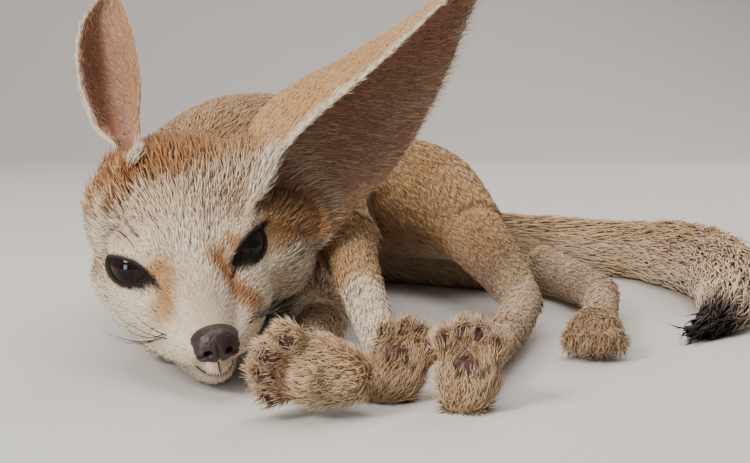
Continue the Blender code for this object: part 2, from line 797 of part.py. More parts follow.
def make_head(home):
    """Skull, muzzle and jaw as one mass, with sockets, lids, mouth slit and a seat for the nose."""
    frame = head_frame()
    form = bmesh.new()
    for (x, y, z), radii, paired in SKULL_MASSES:
        for side in (1, -1) if paired else (1,):
            add_ball(form, (x, side * y, z), radii, frame)
    for line in (MUZZLE, JAW, LEFT_LIP, RIGHT_LIP, LEFT_CHEEK, LEFT_TEMPLE):
        add_limb(form, line, frame)
    for side in (1, -1):
        x, y, z = EYE_PLACE
        lid = EYE_RADIUS + LID_THICK
        add_ball(form, (x, side * y, z), (lid, lid, lid), frame, segments=24)
    head = object_from(form, "head", home)
    mould(head, HEAD_VOXEL, 5, HEAD_TRIANGLES)
    grow_ruff(head)
    return head


def grow_ruff(head):
    """Locks that stand back from the left cheek. The fur of the right one is pressed flat."""
    chance = random.Random(LOCK_SEED)
    locks = collection("ruff locks")
    frame = head_frame()
    turn = frame.to_3x3()
    for row, forward in enumerate(RUFF_ROWS):
        for number in range(RUFF_COUNT):
            up = RUFF_TOP - RUFF_STEP * (number + row / 2)
            out = RUFF_REACH - RUFF_CURVE * (up - RUFF_MIDDLE) ** 2
            root = frame @ Vector((forward, out, up))
            way = turn @ (Vector(RUFF_WAY) + Vector((0.0, 0.0, chance.uniform(-0.1, 0.1))))
            size = [v * chance.uniform(0.9, 1.1) for v in RUFF_LOCK]
            add_lock(locks, root, way, turn @ Vector((1.0, 1.0, 0.0)), size, RUFF_BEND)
    fuse_locks(head, locks)


def finish_head(head, home):
    """Cuts the sockets, the lids' openings, the mouth and the floor's flat, once the neck has its shape."""
    cutters = collection("head cutters")
    add_floor(cutters)
    for side, name in ((1, "eye_left"), (-1, "eye_right")):
        form = bmesh.new()
        add_ball(form, (0, 0, 0), [EYE_RADIUS] * 3, eye_frame(side), segments=14)
        eye = object_from(form, name, home)
        dress(eye, "eye")
        form = bmesh.new()
        add_ball(form, (0, 0, 0), [EYE_RADIUS + GAP] * 3, eye_frame(side), segments=14)
        hide_cutter(object_from(form, "socket", cutters))
        add_lid_opening(cutters, side)
    add_mouth_slit(cutters)
    add_nose(home, cutters)
    carve(head, cutters)
    empty_out(cutters)
    keep_largest(head)
    dress(head, "coat")


# Ears in the head's frame. Each row from root to tip: the front edge, the back of the cup, and the rear edge.
# The left ear leans out to the side. The right one stands up, pinched above its root where it bends.
EAR_LEFT = (
    ((-6, 20, 8), (-24, 20, 14), (-16, 38, -8)),
    ((-8, 26, 14), (-28, 26, 20), (-15, 47, -5)),
    ((-12, 33, 22), (-36, 34, 28), (-22, 55, -2)),
    ((-14, 44, 30), (-43, 47, 33), (-27, 67, 4)),
    ((-17, 58, 37), (-44, 63, 38), (-31, 78, 13)),
    ((-20, 74, 46), (-41, 80, 46), (-34, 90, 28)),
    ((-25, 90, 55), (-36, 95, 55), (-34, 99, 43)),
    ((-31, 107, 62), (-32, 107, 62), (-32, 108, 60)),
)
EAR_RIGHT = (
    ((-10, -20, 15), (-32, -20, 10), (-26, -24, 9)),
    ((-14, -16, 21), (-38, -16, 20), (-30, -21, 18)),
    ((-18, -8, 29), (-43, -9, 25), (-36, -13, 26)),
    ((-30, -5, 37), (-54, -9, 30), (-46, -17, 32)),
    ((-38, -2, 46), (-62, -9, 41), (-54, -19, 44)),
    ((-48, -1, 56), (-66, -8, 54), (-60, -17, 57)),
    ((-60, -1, 64), (-68, -6, 64), (-66, -11, 65)),
    ((-66, -3, 69), (-68, -3, 69), (-67, -4, 69)),
)


def grow_fringe(ear, edges):
    """Locks along the lower half of both edges of an ear, leaning over its hollow and towards its tip."""
    chance = random.Random(LOCK_SEED)
    locks = collection("fringe locks")
    frame = head_frame()
    front, back, rear = edges
    for edge, other, count in ((front, rear, FRINGE_FRONT), (rear, front, FRINGE_REAR)):
        first, last = (round(len(edge) * share) for share in FRINGE_STRETCH)
        for number in range(count):
            index = first + round(number * (last - first) / (count - 1))
            ahead = (edge[index + 1] - edge[index - 1]).normalized()
            across = (other[index] - edge[index]).normalized()
            away = (edge[index] - back[index]).normalized()
            way = ahead * FRINGE_WAY[0] + across * FRINGE_WAY[1] + away * chance.uniform(0.25, 0.5)
            root = edge[index] - away * 2.0
            size = [v * chance.uniform(0.85, 1.1) for v in FRINGE_LOCK]
            turn = frame.to_3x3()
            add_lock(locks, frame @ root, turn @ way, turn @ away, size, FRINGE_BEND)
    fuse_locks(ear, locks)


def make_ear(name, rows, head, home, body_cutters):
    """A cupped sheet lofted through three edges, thickened and cut off where it meets the head."""
    frame = head_frame()
    front, back, rear = ([Vector(row[i]) for row in rows] for i in range(3))
    steps = (EAR_ROWS - 1) // (len(rows) - 1)
    edges = [smooth_path(line, steps) for line in (front, back, rear)]
    form = bmesh.new()
    grid = []
    for a, b, c in zip(*edges):
        line = []
        for column in range(EAR_COLUMNS):
            t = column / (EAR_COLUMNS - 1)
            middle = 2 * b - (a + c) / 2
            line.append(form.verts.new(a * (1 - t) ** 2 + middle * 2 * t * (1 - t) + c * t**2))
        grid.append(line)
    for low, high in zip(grid, grid[1:]):
        for left, right, up_right, up_left in zip(low, low[1:], high[1:], high):
            form.faces.new((left, right, up_right, up_left))
    form.transform(Matrix.Scale(MM, 4) @ frame)
    bmesh.ops.triangulate(form, faces=form.faces)
    ear = object_from(form, name, home)
    thick = ear.modifiers.new("thick", "SOLIDIFY")
    thick.thickness = EAR_THICK * MM
    thick.offset = 0.0
    apply_modifiers(ear)
    mould(ear, EAR_VOXEL, 2, EAR_TRIANGLES)
    grow_fringe(ear, edges)
    swollen(ear, "clearance of " + name, body_cutters, GAP)
    cutters = collection("ear cutters")
    add_floor(cutters)
    swollen(head, "head clearance", cutters, GAP)
    carve(ear, cutters)
    empty_out(cutters)
    keep_largest(ear)
    dress(ear, "cream")
    return ear


def centre_on_floor(home):
    """Puts the origin at the middle of the model's footprint, on the floor."""
    bpy.context.view_layer.update()
    corners = [piece.matrix_world @ Vector(c) for piece in home.objects for c in piece.bound_box]
    middle = [(min(c[i] for c in corners) + max(c[i] for c in corners)) / 2 for i in range(2)]
    for piece in home.objects:
        piece.data.transform(Matrix.Translation((-middle[0], -middle[1], 0.0)))
        piece.data.shade_smooth()
        piece.data.set_sharp_from_angle(angle=math.radians(50.0))


def main():
    clear_scene()
    for name, look in (
        ("coat", COAT),
        ("cream", CREAM),
        ("leather", DARK_SKIN),
        ("eye", EYE_BROWN),
        ("horn", CLAW_HORN),
    ):
        material(name, look)
    home = collection("fennec fox")
    head = make_head(home)
    body_cutters = collection("body cutters")
    make_ear("ear_left", EAR_LEFT, head, home, body_cutters)
    make_ear("ear_right", EAR_RIGHT, head, home, body_cutters)
    swollen(head, "clearance of head", body_cutters, GAP)
    for name in PAWS:
        make_paw(home, name, body_cutters)
    make_body(home, body_cutters)
    finish_head(head, home)
    centre_on_floor(home)


main()
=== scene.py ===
import math

import bmesh
import bpy
import numpy as np
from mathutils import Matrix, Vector
from mathutils.bvhtree import BVHTree
from mathutils.kdtree import KDTree


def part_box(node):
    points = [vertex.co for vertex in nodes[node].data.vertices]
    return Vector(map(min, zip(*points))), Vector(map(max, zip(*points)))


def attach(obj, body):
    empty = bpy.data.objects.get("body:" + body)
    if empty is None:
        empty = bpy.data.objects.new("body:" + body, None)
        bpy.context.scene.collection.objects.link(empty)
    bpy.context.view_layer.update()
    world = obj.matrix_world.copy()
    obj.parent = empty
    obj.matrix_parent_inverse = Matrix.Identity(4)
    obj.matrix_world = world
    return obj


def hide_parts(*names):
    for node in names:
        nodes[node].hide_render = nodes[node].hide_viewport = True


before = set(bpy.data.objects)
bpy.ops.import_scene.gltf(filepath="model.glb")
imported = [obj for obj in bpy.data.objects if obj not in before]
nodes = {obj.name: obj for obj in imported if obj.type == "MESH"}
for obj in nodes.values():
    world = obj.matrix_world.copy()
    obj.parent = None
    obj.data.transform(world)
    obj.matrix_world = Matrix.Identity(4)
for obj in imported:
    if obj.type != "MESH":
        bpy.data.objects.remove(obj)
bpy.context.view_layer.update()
dice = np.random.default_rng(11)
mm = 0.001
print("stage: frame loaded,", len(nodes), "nodes")

# How the head lies: the same place and turns as in the solids, in millimetres and degrees
headPose = {
    "place": (-53.0, 0.0, 34.5),
    "turn": 16.0,
    "nod": -11.0,
    "roll": 10.0,
    "eye": (-4.1, 14.2, -0.2),  # middle of an eyeball in the head's own directions
    "eyeOutward": 30.0,
    "eyeUpward": 8.0,
    "lidSlant": 21.0,
    "eyeRadius": 8.6,
    "lidOpening": (16.2, 7.7),
    "lidInner": 0.49,  # share of the opening's length on the nose's side of its widest place
}


def unit(rows):
    rows = np.asarray(rows, float)
    return rows / np.maximum(np.linalg.norm(rows, axis=-1, keepdims=True), 1e-9)


def headDirections():  # forward, left and up of the head, as rows
    turn, nod, roll = (math.radians(headPose[key]) for key in ("turn", "nod", "roll"))
    forward = np.array([math.sin(turn) * math.cos(nod), -math.cos(turn) * math.cos(nod), math.sin(nod)])
    level = np.array([math.cos(turn), math.sin(turn), 0.0])
    upright = np.cross(forward, level)
    left = level * math.cos(roll) + upright * math.sin(roll)
    up = upright * math.cos(roll) - level * math.sin(roll)
    return np.array([forward, left, up])


headAxes = headDirections()
eyesInFrame = np.mean([np.mean(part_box(name), axis=0) for name in ("eye_left", "eye_right")], axis=0) / mm
eyesInPose = np.array(headPose["place"]) + np.array(headPose["eye"]) * (1, 0, 1) @ headAxes
shift = eyesInFrame - eyesInPose  # from the pose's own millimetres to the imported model's
headOrigin = np.array(headPose["place"]) + shift


def toHead(points):
    return (points - headOrigin) @ headAxes.T


def fromHead(points):
    return np.asarray(points, float) @ headAxes + headOrigin


def axesFrom(along, facing):  # rows x, y, z with x along one direction and z near the other
    x = unit(along)
    y = unit(np.cross(facing, x))
    return np.array([x, y, np.cross(x, y)])


def eyePlace(side):  # middle of an eyeball, and its directions: gaze, along the lids, across them
    forward, out, up = headPose["eye"]
    outward, upward = math.radians(headPose["eyeOutward"]), math.radians(headPose["eyeUpward"])
    gaze = (math.cos(outward) * math.cos(upward), side * math.sin(outward), math.sin(upward))
    x, y, z = axesFrom(gaze, (0.0, 0.0, 1.0))
    slant = math.radians(side * headPose["lidSlant"])
    y, z = y * math.cos(slant) + z * math.sin(slant), z * math.cos(slant) - y * math.sin(slant)
    return fromHead((forward, side * out, up)), np.array([x, y, z]) @ headAxes


def smoothPath(rows, steps):  # a smooth curve through all the rows
    rows = np.asarray(rows, float)
    rows = np.vstack([2 * rows[0] - rows[1], rows, 2 * rows[-1] - rows[-2]])
    t = (np.arange(steps) / steps)[:, None]
    path = []
    for before, start, end, after in zip(rows, rows[1:], rows[2:], rows[3:]):
        bend = (2 * before - 5 * start + 4 * end - after) * t**2
        turn = (3 * start - before - 3 * end + after) * t**3
        path.append(0.5 * (2 * start + (end - before) * t + bend + turn))
    return np.vstack(path + [rows[-2:-1]])


# Camera, floor and light
view = {
    "place": (0.0, -397.0, 84.4),
    "pitch": 6.0,
    "focalPixels": 1400.0,
    "imageWidth": 750.0,
    "filmWidth": 36.0,
    "nearest": 0.01,
}
studio = {  # places and sizes in metres, the lights' power in watts
    "floorColour": (0.62, 0.60, 0.57),
    "floorRoughness": 0.9,
    "floorSize": 3.0,
    "sweepBack": 1.1,  # where the paper starts to rise behind the model
    "sweepRadius": 0.5,
    "sweepTop": 2.5,
    "top": {"place": (-0.2, -0.1, 1.5), "size": 1.1, "power": 15.0, "colour": (1.0, 0.97, 0.93)},
    "key": {"place": (-0.75, -0.75, 0.75), "size": 0.4, "power": 14.0, "colour": (1.0, 0.94, 0.86)},
    "glint": {"place": (-0.70, -0.82, 0.19), "size": 0.30, "power": 4.0, "colour": (0.82, 0.91, 1.0)},
    "rim": {"place": (0.5, 0.9, 0.9), "size": 0.8, "power": 9.0, "colour": (1.0, 0.95, 0.88)},
    "world": (0.26, 0.26, 0.27),
}


def addCamera():
    camera = bpy.data.objects.new("camera", bpy.data.cameras.new("camera"))
    bpy.context.scene.collection.objects.link(camera)
    camera.data.sensor_width = view["filmWidth"]
    camera.data.lens = view["focalPixels"] / view["imageWidth"] * view["filmWidth"]
    camera.data.clip_start = view["nearest"]
    camera.location = (np.array(view["place"]) + shift) * mm
    camera.rotation_euler = (math.radians(90.0 - view["pitch"]), 0.0, 0.0)
    bpy.context.scene.camera = camera


def addLight(name, settings, target):
    light = bpy.data.objects.new(name, bpy.data.lights.new(name, "AREA"))
    bpy.context.scene.collection.objects.link(light)
    light.data.shape = "SQUARE"
    light.data.size = settings["size"]
    light.data.energy = settings["power"]
    light.data.color = settings["colour"]
    light.location = settings["place"]
    light.rotation_euler = (Vector(target) - light.location).to_track_quat("-Z", "Y").to_euler()


def addStage():
    form = bmesh.new()
    size, back, radius = studio["floorSize"], studio["sweepBack"], studio["sweepRadius"]
    profile = [(-size, 0.0), (back, 0.0)]
    for angle in np.linspace(0.1, math.pi / 2, 12):
        profile.append((back + radius * math.sin(angle), radius - radius * math.cos(angle)))
    profile.append((back + radius, studio["sweepTop"]))
    rows = [[form.verts.new((x, y, z)) for x in (-size, size)] for y, z in profile]
    for low, high in zip(rows, rows[1:]):
        form.faces.new((low[0], low[1], high[1], high[0]))
    mesh = bpy.data.meshes.new("studioFloor")
    form.to_mesh(mesh)
    form.free()
    mesh.shade_smooth()
    floor = bpy.data.objects.new("studioFloor", mesh)
    bpy.context.scene.collection.objects.link(floor)
    paint = bpy.data.materials.new("palePaper")
    paint.use_nodes = True
    shader = paint.node_tree.nodes["Principled BSDF"]
    shader.inputs["Base Color"].default_value = (*studio["floorColour"], 1.0)
    shader.inputs["Roughness"].default_value = studio["floorRoughness"]
    mesh.materials.append(paint)
    world = bpy.data.worlds.new("studioAir")
    world.use_nodes = True
    world.node_tree.nodes["Background"].inputs["Color"].default_value = (*studio["world"], 1.0)
    bpy.context.scene.world = world
    target = fromHead((0.0, 0.0, 0.0)) * mm
    for name in ("top", "key", "glint", "rim"):
        addLight(name + "Light", studio[name], target)


addCamera()
addStage()
print("stage: camera, floor and lights")

# The body's lines, as in the solids. Each row is x, y, z and the radius there.
body = {
    "spine": (
        (-62, 52, 35, 25),
        (-59, 84, 36, 34),
        (-55, 114, 39, 40),
        (-48, 148, 41, 42.5),
        (-36, 184, 39, 40.5),
        (-16, 214, 33.5, 36),
        (4, 230, 29, 31),
        (22, 238, 25, 24),
    ),
    "tail": (
        (20, 238, 24, 15),
        (52, 244, 14, 14),
        (90, 234, 11.5, 17),
        (118, 205, 12, 20),
        (132, 163, 12.3, 21),
        (132, 122, 11, 19),
        (124, 90, 8, 14),
        (115, 72, 4.5, 8),
        (108, 62, 4, 4),
    ),
    "tailCore": (1.0, 0.92, 0.72, 0.62, 0.60, 0.60, 0.60, 0.60, 0.60),
    "armLeft": ((-30, 108, 50, 24), (-19, 82, 43, 17), (-10, 56, 35, 11.5)),
    "forearmLeft": ((-10, 56, 35, 11.5), (-6, 28, 28, 8.6), (0, -6, 17, 7.0), (3, -19, 12, 7.0)),
    "armRight": ((-34, 112, 20, 18), (-21, 84, 13, 12), (-17, 56, 8.6, 9.2)),
    "forearmRight": ((-17, 56, 8.6, 9.2), (-20, 14, 7.4, 7.4), (-20, -22, 8.5, 6.8), (-16, -38, 11.5, 7.0)),
    "thighLeft": ((2, 208, 34, 30), (20, 180, 36, 25), (36, 140, 30, 15)),
    "shankLeft": ((36, 140, 29, 14), (45, 104, 19, 10.5), (50, 72, 11, 8.0)),
    "footLeft": ((50, 72, 11, 8.0), (43, 40, 7.6, 7.4), (30.5, -6, 7.2, 7.2), (26, -25, 9.6, 7.2)),
    "thighRight": ((6, 204, 18, 20), (34, 188, 14, 16), (66, 168, 11, 11)),
    "shankRight": ((66, 168, 10.5, 10.5), (76, 140, 9, 9), (82, 112, 8, 8.4)),
    "footRight": ((82, 112, 8, 8.4), (78, 80, 7, 7.2), (71, 48, 7.2, 7.6)),
}
# How deep the coat lies over the skin, with the legs from the body outwards
coatDepth = {"spine": 3.6, "tail": 1.0, "head": 1.1, "paw": 0.7, "pad": 0.1, "ear": 0.175}
legDepth = {"arm": 2.4, "forearm": 1.5, "thigh": 2.4, "shank": 1.5, "foot": 1.5}
floorGap = 0.15  # the lowest that skin and tufts reach

# Middle, direction of the toes, direction of the sole and size of each paw
paws = {
    "forepaw_left": ((6.6, -25, 10.2), (0.40, 0.45, 0.80), (-0.05, -0.86, 0.50), 0.84),
    "forepaw_right": ((-18.0, -49, 12.6), (-0.95, -0.12, 0.26), (-0.14, -0.96, -0.16), 1.0),
    "hindpaw_left": ((24.3, -38, 11.6), (0.10, 0.24, 0.96), (-0.10, -0.97, 0.22), 0.86),
    "hindpaw_right": ((68.5, 34, 6.4), (-0.14, -0.98, 0.0), (0.0, 0.0, -1.0), 0.86),
}
pawMasses = (
    ((-4.5, 0.0, -1.5), (10.5, 9.6, 7.2)),
    ((-9.0, 0.0, -2.0), (9.0, 8.0, 7.0)),
)
toes = {
    "places": (-1.5, -0.5, 0.5, 1.5),
    "spread": 5.3,
    "reach": 9.5,
    "fall": 3.3,
    "fallPower": 1.4,
    "radius": 3.6,
    "rootIn": 0.6,
    "rootDown": 1.0,
    "steps": 6,
}
pads = {
    "palm": ((-1.5, 0.0, 4.6), (3.4, 4.5, 2.4)),
    "toe": ((-0.3, 0.0, 3.0), (2.7, 2.0, 1.7)),
}

# The head's masses: middle, radii, and whether the other side has the same
skull = {
    "masses": (
        ((-27, 1.2, 5), (27, 26.8, 23), False),
        ((-9, 0, 1), (17, 22, 15.5), False),
        ((-3, 13, -4), (14, 11, 11), True),
        ((-20, -15, -9), (15, 12, 12), False),
        ((-26, 0, -23), (24, 19, 18), False),
        ((-24, 20, 12), (12, 11, 12), False),
    ),
    "lip": (
        (-12, 13.5, -8.5, 12.5),
        (0, 12.4, -11, 11),
        (10, 10.4, -13.6, 8.8),
        (19, 8, -15.8, 6.8),
        (26, 5.6, -16.6, 5.2),
    ),
    "leftCheek": ((-4, 15, -7, 11), (-10, 22, -9, 12), (-20, 26, -11, 13.5)),
    "leftTemple": ((-10, 16, 3, 9), (-17, 25, 0, 10.5), (-24, 33, -5, 12)),
    "muzzle": (
        (-6, 0, -8, 16),
        (7, 0, -8.8, 12),
        (18, 0, -11, 9.2),
        (28, 0, -13.2, 6.8),
        (31, 0, -13.8, 6.2),
    ),
    "jaw": (
        (-16, 0, -25, 13.5),
        (2, 0, -25.2, 10.3),
        (16, 0, -24.6, 7.8),
        (25, 0, -23.0, 5.6),
        (28.5, 0, -21.8, 4.5),
    ),
    "lid": 1.0,  # how far the lids stand over the eyeball
}
# The ears' sheets from root to tip: each row has the front edge, the back of the cup and the rear edge
earRows = {
    "ear_left": (
        ((-6, 20, 8), (-24, 20, 14), (-16, 38, -8)),
        ((-8, 26, 14), (-28, 26, 20), (-15, 47, -5)),
        ((-12, 33, 22), (-36, 34, 28), (-22, 55, -2)),
        ((-14, 44, 30), (-43, 47, 33), (-27, 67, 4)),
        ((-17, 58, 37), (-44, 63, 38), (-31, 78, 13)),
        ((-20, 74, 46), (-41, 80, 46), (-34, 90, 28)),
        ((-25, 90, 55), (-36, 95, 55), (-34, 99, 43)),
        ((-31, 107, 62), (-32, 107, 62), (-32, 108, 60)),
    ),
    "ear_right": (
        ((-10, -20, 15), (-32, -20, 10), (-26, -24, 9)),
        ((-14, -16, 21), (-38, -16, 20), (-30, -21, 18)),
        ((-18, -8, 29), (-43, -9, 25), (-36, -13, 26)),
        ((-30, -5, 37), (-54, -9, 30), (-46, -17, 32)),
        ((-38, -2, 46), (-62, -9, 41), (-54, -19, 44)),
        ((-48, -1, 56), (-66, -8, 54), (-60, -17, 57)),
        ((-60, -1, 64), (-68, -6, 64), (-66, -11, 65)),
        ((-66, -3, 69), (-68, -3, 69), (-67, -4, 69)),
    ),
}
balls = {"large": 12.0, "fine": 4, "coarse": 3}  # balls larger than that many mm get the fine mesh
unitBalls = {}


def unitBall(fineness):
    if fineness not in unitBalls:
        form = bmesh.new()
        bmesh.ops.create_icosphere(form, subdivisions=fineness, radius=1.0)
        corners = np.array([v.co for v in form.verts])
        unitBalls[fineness] = corners, np.array([[v.index for v in f.verts] for f in form.faces])
        form.free()
    return unitBalls[fineness]


def addBall(shapes, middle, radii, axes=None):
    points, faces = unitBall(balls["fine"] if max(radii) > balls["large"] else balls["coarse"])
    local = points * radii
    shapes.append(((local if axes is None else local @ axes) + middle, faces))


def addLimb(shapes, rows, less=0.0, steps=8):
    for x, y, z, radius in smoothPath(rows, steps):
        addBall(shapes, np.array((x, y, z)), [max(radius - less, 0.5)] * 3)


def inFrame(rows):  # rows of x, y, z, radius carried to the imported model
    rows = np.array(rows, float)
    rows[:, :3] += shift
    return rows


def inHeadRows(rows):
    rows = np.array(rows, float)
    return np.column_stack([fromHead(rows[:, :3]), rows[:, 3]])


def joined(shapes):
    starts = np.cumsum([0] + [len(points) for points, _ in shapes])
    faces = [corners + start for (_, corners), start in zip(shapes, starts)]
    return np.vstack([points for points, _ in shapes]), np.vstack(faces)


def newPiece(name, points, corners, starts):  # points in millimetres, the faces' corners in one row
    mesh = bpy.data.meshes.new(name)
    mesh.vertices.add(len(points))
    mesh.vertices.foreach_set("co", (np.asarray(points) * mm).astype(np.float32).ravel())
    mesh.loops.add(len(corners))
    mesh.loops.foreach_set("vertex_index", corners.astype(np.int32))
    mesh.polygons.add(len(starts))
    mesh.polygons.foreach_set("loop_start", starts.astype(np.int32))
    mesh.update(calc_edges=True)
    piece = bpy.data.objects.new(name, mesh)
    bpy.context.scene.collection.objects.link(piece)
    return piece


def trianglePiece(name, points, faces):
    return newPiece(name, points, faces.ravel(), np.arange(0, faces.size, 3))


def dressPiece(piece, paint, slotName, *replaced):
    piece.data.materials.clear()
    piece.data.materials.append(bpy.data.materials[paint])
    piece.data.shade_smooth()
    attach(piece, "root")
    if replaced:
        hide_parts(*replaced)


def applyModifiers(piece):
    graph = bpy.context.evaluated_depsgraph_get()
    mesh = bpy.data.meshes.new_from_object(piece.evaluated_get(graph))
    old = piece.data
    piece.modifiers.clear()
    piece.data = mesh
    bpy.data.meshes.remove(old)


def melt(piece, voxel, share=1.0):  # one closed surface from overlapping ones
    remesh = piece.modifiers.new("melt", "REMESH")
    remesh.mode = "VOXEL"
    remesh.voxel_size = voxel * mm
    applyModifiers(piece)
    if share < 1.0:
        thin = piece.modifiers.new("thin", "DECIMATE")
        thin.ratio = share
        applyModifiers(piece)


def pointsOf(mesh):
    places = np.zeros(len(mesh.vertices) * 3, np.float32)
    mesh.vertices.foreach_get("co", places)
    return places.reshape(-1, 3).astype(float) / mm


def setPoints(mesh, points):
    mesh.vertices.foreach_set("co", (points * mm).astype(np.float32).ravel())
    mesh.update()


def normalsOf(mesh):
    normals = np.zeros(len(mesh.vertices) * 3, np.float32)
    mesh.vertex_normals.foreach_get("vector", normals)
    return normals.reshape(-1, 3).astype(float)


def edgesOf(mesh):
    pairs = np.zeros(len(mesh.edges) * 2, np.int32)
    mesh.edges.foreach_get("vertices", pairs)
    return pairs.reshape(-1, 2)


easing = {"inward": 0.5, "outward": 0.432}


def neighbourMean(values, edges):
    total = np.zeros_like(values)
    for column in range(values.shape[1]):
        total[:, column] = np.bincount(edges[:, 0], values[edges[:, 1], column], len(values))
        total[:, column] += np.bincount(edges[:, 1], values[edges[:, 0], column], len(values))
    count = np.bincount(edges.ravel(), minlength=len(values))
    return total / np.maximum(count, 1)[:, None]


def eased(points, edges, rounds):  # smoothing that nearly keeps the volume, by a step in and a step out
    for number in range(rounds):
        points = points + easing["inward"] * (neighbourMean(points, edges) - points)
        points = points - easing["outward"] * (neighbourMean(points, edges) - points)
    return points


def stepBetween(low, high, value):  # 0 below low, 1 above high, smooth between
    t = np.clip((value - low) / (high - low), 0.0, 1.0)
    return t * t * (3.0 - 2.0 * t)


def pawFrame(name):
    place, toesWay, soleWay, size = paws[name]
    return np.array(place) + shift, axesFrom(toesWay, soleWay) * size


def toeRows():  # side and reach of the four toes, the middle pair longest
    rows = []
    for place in toes["places"]:
        shorter = toes["fall"] * (abs(place) - 0.5) ** toes["fallPower"]
        rows.append((toes["spread"] * place, toes["reach"] - shorter))
    return rows


def addPaw(shapes, name):
    place, axes = pawFrame(name)

    def ball(middle, radii, less=coatDepth["paw"]):
        addBall(shapes, place + np.array(middle) @ axes, np.array(radii) - less, axes)

    for middle, radii in pawMasses:
        ball(middle, radii)
    ball(*pads["palm"], less=coatDepth["pad"])
    for side, reach in toeRows():
        root = np.array((0.0, side * toes["rootIn"], -toes["rootDown"]))
        for share in np.linspace(0.0, 1.0, toes["steps"]):
            ball(root * (1 - share) + np.array((reach, side, 0.0)) * share, [toes["radius"]] * 3)
        (x, y, z), radii = pads["toe"]
        ball((reach + x, side + y, z), radii, less=coatDepth["pad"])


earMesh = {"rows": 57, "columns": 17, "half": 1.15, "tipThinner": 0.35, "edgeThinner": 0.25}


def earGrid(name):  # points of the ear's sheet, root to tip and front edge to rear edge
    steps = (earMesh["rows"] - 1) // (len(earRows[name]) - 1)
    front, back, rear = (smoothPath([row[i] for row in earRows[name]], steps) for i in range(3))
    t = np.linspace(0.0, 1.0, earMesh["columns"])[None, :, None]
    middle = 2 * back - (front + rear) / 2
    grid = front[:, None] * (1 - t) ** 2 + middle[:, None] * 2 * t * (1 - t) + rear[:, None] * t**2
    return fromHead(grid.reshape(-1, 3)).reshape(grid.shape)


def gridNormals(grid):
    along = np.gradient(grid, axis=0)
    across = np.gradient(grid, axis=1)
    return unit(np.cross(across, along))


def addEar(shapes, name):
    grid = earGrid(name)
    normals = gridNormals(grid)
    rows, columns = grid.shape[:2]
    tipward = np.linspace(0.0, 1.0, rows)[:, None, None]
    edge = np.abs(np.linspace(-1.0, 1.0, columns))[None, :, None]
    half = earMesh["half"] - earMesh["tipThinner"] * tipward - earMesh["edgeThinner"] * edge**4
    half = half - coatDepth["ear"]
    outer, inner = grid + normals * half, grid - normals * half
    points = np.vstack([outer.reshape(-1, 3), inner.reshape(-1, 3)])
    index = np.arange(rows * columns).reshape(rows, columns)
    a, b, c, d = index[:-1, :-1], index[:-1, 1:], index[1:, 1:], index[1:, :-1]
    sheet = np.concatenate([np.stack([a, b, c], -1).reshape(-1, 3), np.stack([a, c, d], -1).reshape(-1, 3)])
    other = sheet[:, ::-1] + rows * columns
    rim = np.concatenate([index[0, :], index[1:, -1], index[-1, -2::-1], index[-2:0:-1, 0]])
    after = np.roll(rim, -1)
    lower = rim + rows * columns
    below = after + rows * columns
    wall = np.concatenate([np.stack([after, rim, lower], -1), np.stack([after, lower, below], -1)])
    shapes.append((points, np.concatenate([sheet, other, wall])))


# The skin under the coat: one surface over all the flesh
skinForm = {"voxel": 0.85, "share": 0.345, "easing": 12}
lids = {
    "reach": 13.0,  # smaller faces up to here from the middle of the eyeball
    "margin": 6.0,
    "front": 0.5,
    "over": 0.5,  # the lids' edge over the eyeball, and how fast they leave it
    "slope": 0.34,
    "hug": (5.0, 1.2),
    "edge": (-0.1, -0.9),
    "sunk": 2.0,
    "innerPinch": 0.5,
    "outerPinch": 0.12,
    "outlineSteps": 45,
}
eyeCorners = {
    "inner": (-0.25, 4.2),
    "outer": (0.05, 3.4),
    "half": 1.5,
    "taper": 0.75,
    "back": 1.5,
    "soft": (0.4, -0.3),
}
mouth = {
    "corner": 9.0,
    "cornerSoft": (-1.0, 2.0),
    "front": 31.0,
    "height": -23.2,
    "rise": 1.5,
    "wide": 20.0,
    "depth": 0.3,
    "half": 1.5,
}
brow = {  # where the slope above the nose is evened out, in the head's own millimetres
    "rounds": 60,
    "pull": 0.5,
    "halfWidth": ((0.0, 5.0, 11.0), (4.0, 8.0, 15.0)),  # heights, and half the width there
    "fade": 1.6,
    "low": (-4.0, 9.0),
    "high": (27.0, 21.0),
    "front": (22.0, 8.0),
    "back": (-28.0, -18.0),
}


def eyeCoordinates(points, side):
    middle, axes = eyePlace(side)
    return (points - middle) @ axes.T


def lidPinch(inner):  # how much the opening narrows towards its two ends
    return np.where(inner, lids["innerPinch"], lids["outerPinch"])


def lidShare(inner):  # the opening's length on each side of its widest place
    return np.where(inner, headPose["lidInner"], 1.0 - headPose["lidInner"])


def almondOutline(steps, side):  # a drop: round at the outer corner, longer and pointed towards the nose
    wide, high = headPose["lidOpening"]
    angles = np.linspace(0.0, 2 * math.pi, 2 * steps + 1)
    share = np.cos(angles)
    y = side * share * wide * lidShare(share < 0.0)
    z = np.sin(angles) * high / 2 * (1.0 - lidPinch(share < 0.0) * share**2)
    return y, z, share


def outsideAlmond(local, side):  # distance in mm from the edge of the lids, negative in the opening
    wide, high = headPose["lidOpening"]
    outline = np.column_stack(almondOutline(lids["outlineSteps"], side)[:2])
    away = np.full(len(local), 1e9)
    for y, z in outline:
        away = np.minimum(away, np.hypot(local[:, 1] - y, local[:, 2] - z))
    y = local[:, 1] * side
    share = y / wide / lidShare(y < 0.0)
    limit = np.clip(share, -1.0, 1.0)
    edge = high / 2 * np.sqrt(1.0 - limit**2) * (1.0 - lidPinch(limit < 0.0) * limit**2)
    inside = (np.abs(share) < 1.0) & (np.abs(local[:, 2]) < edge)
    return np.where(inside, -away, away)


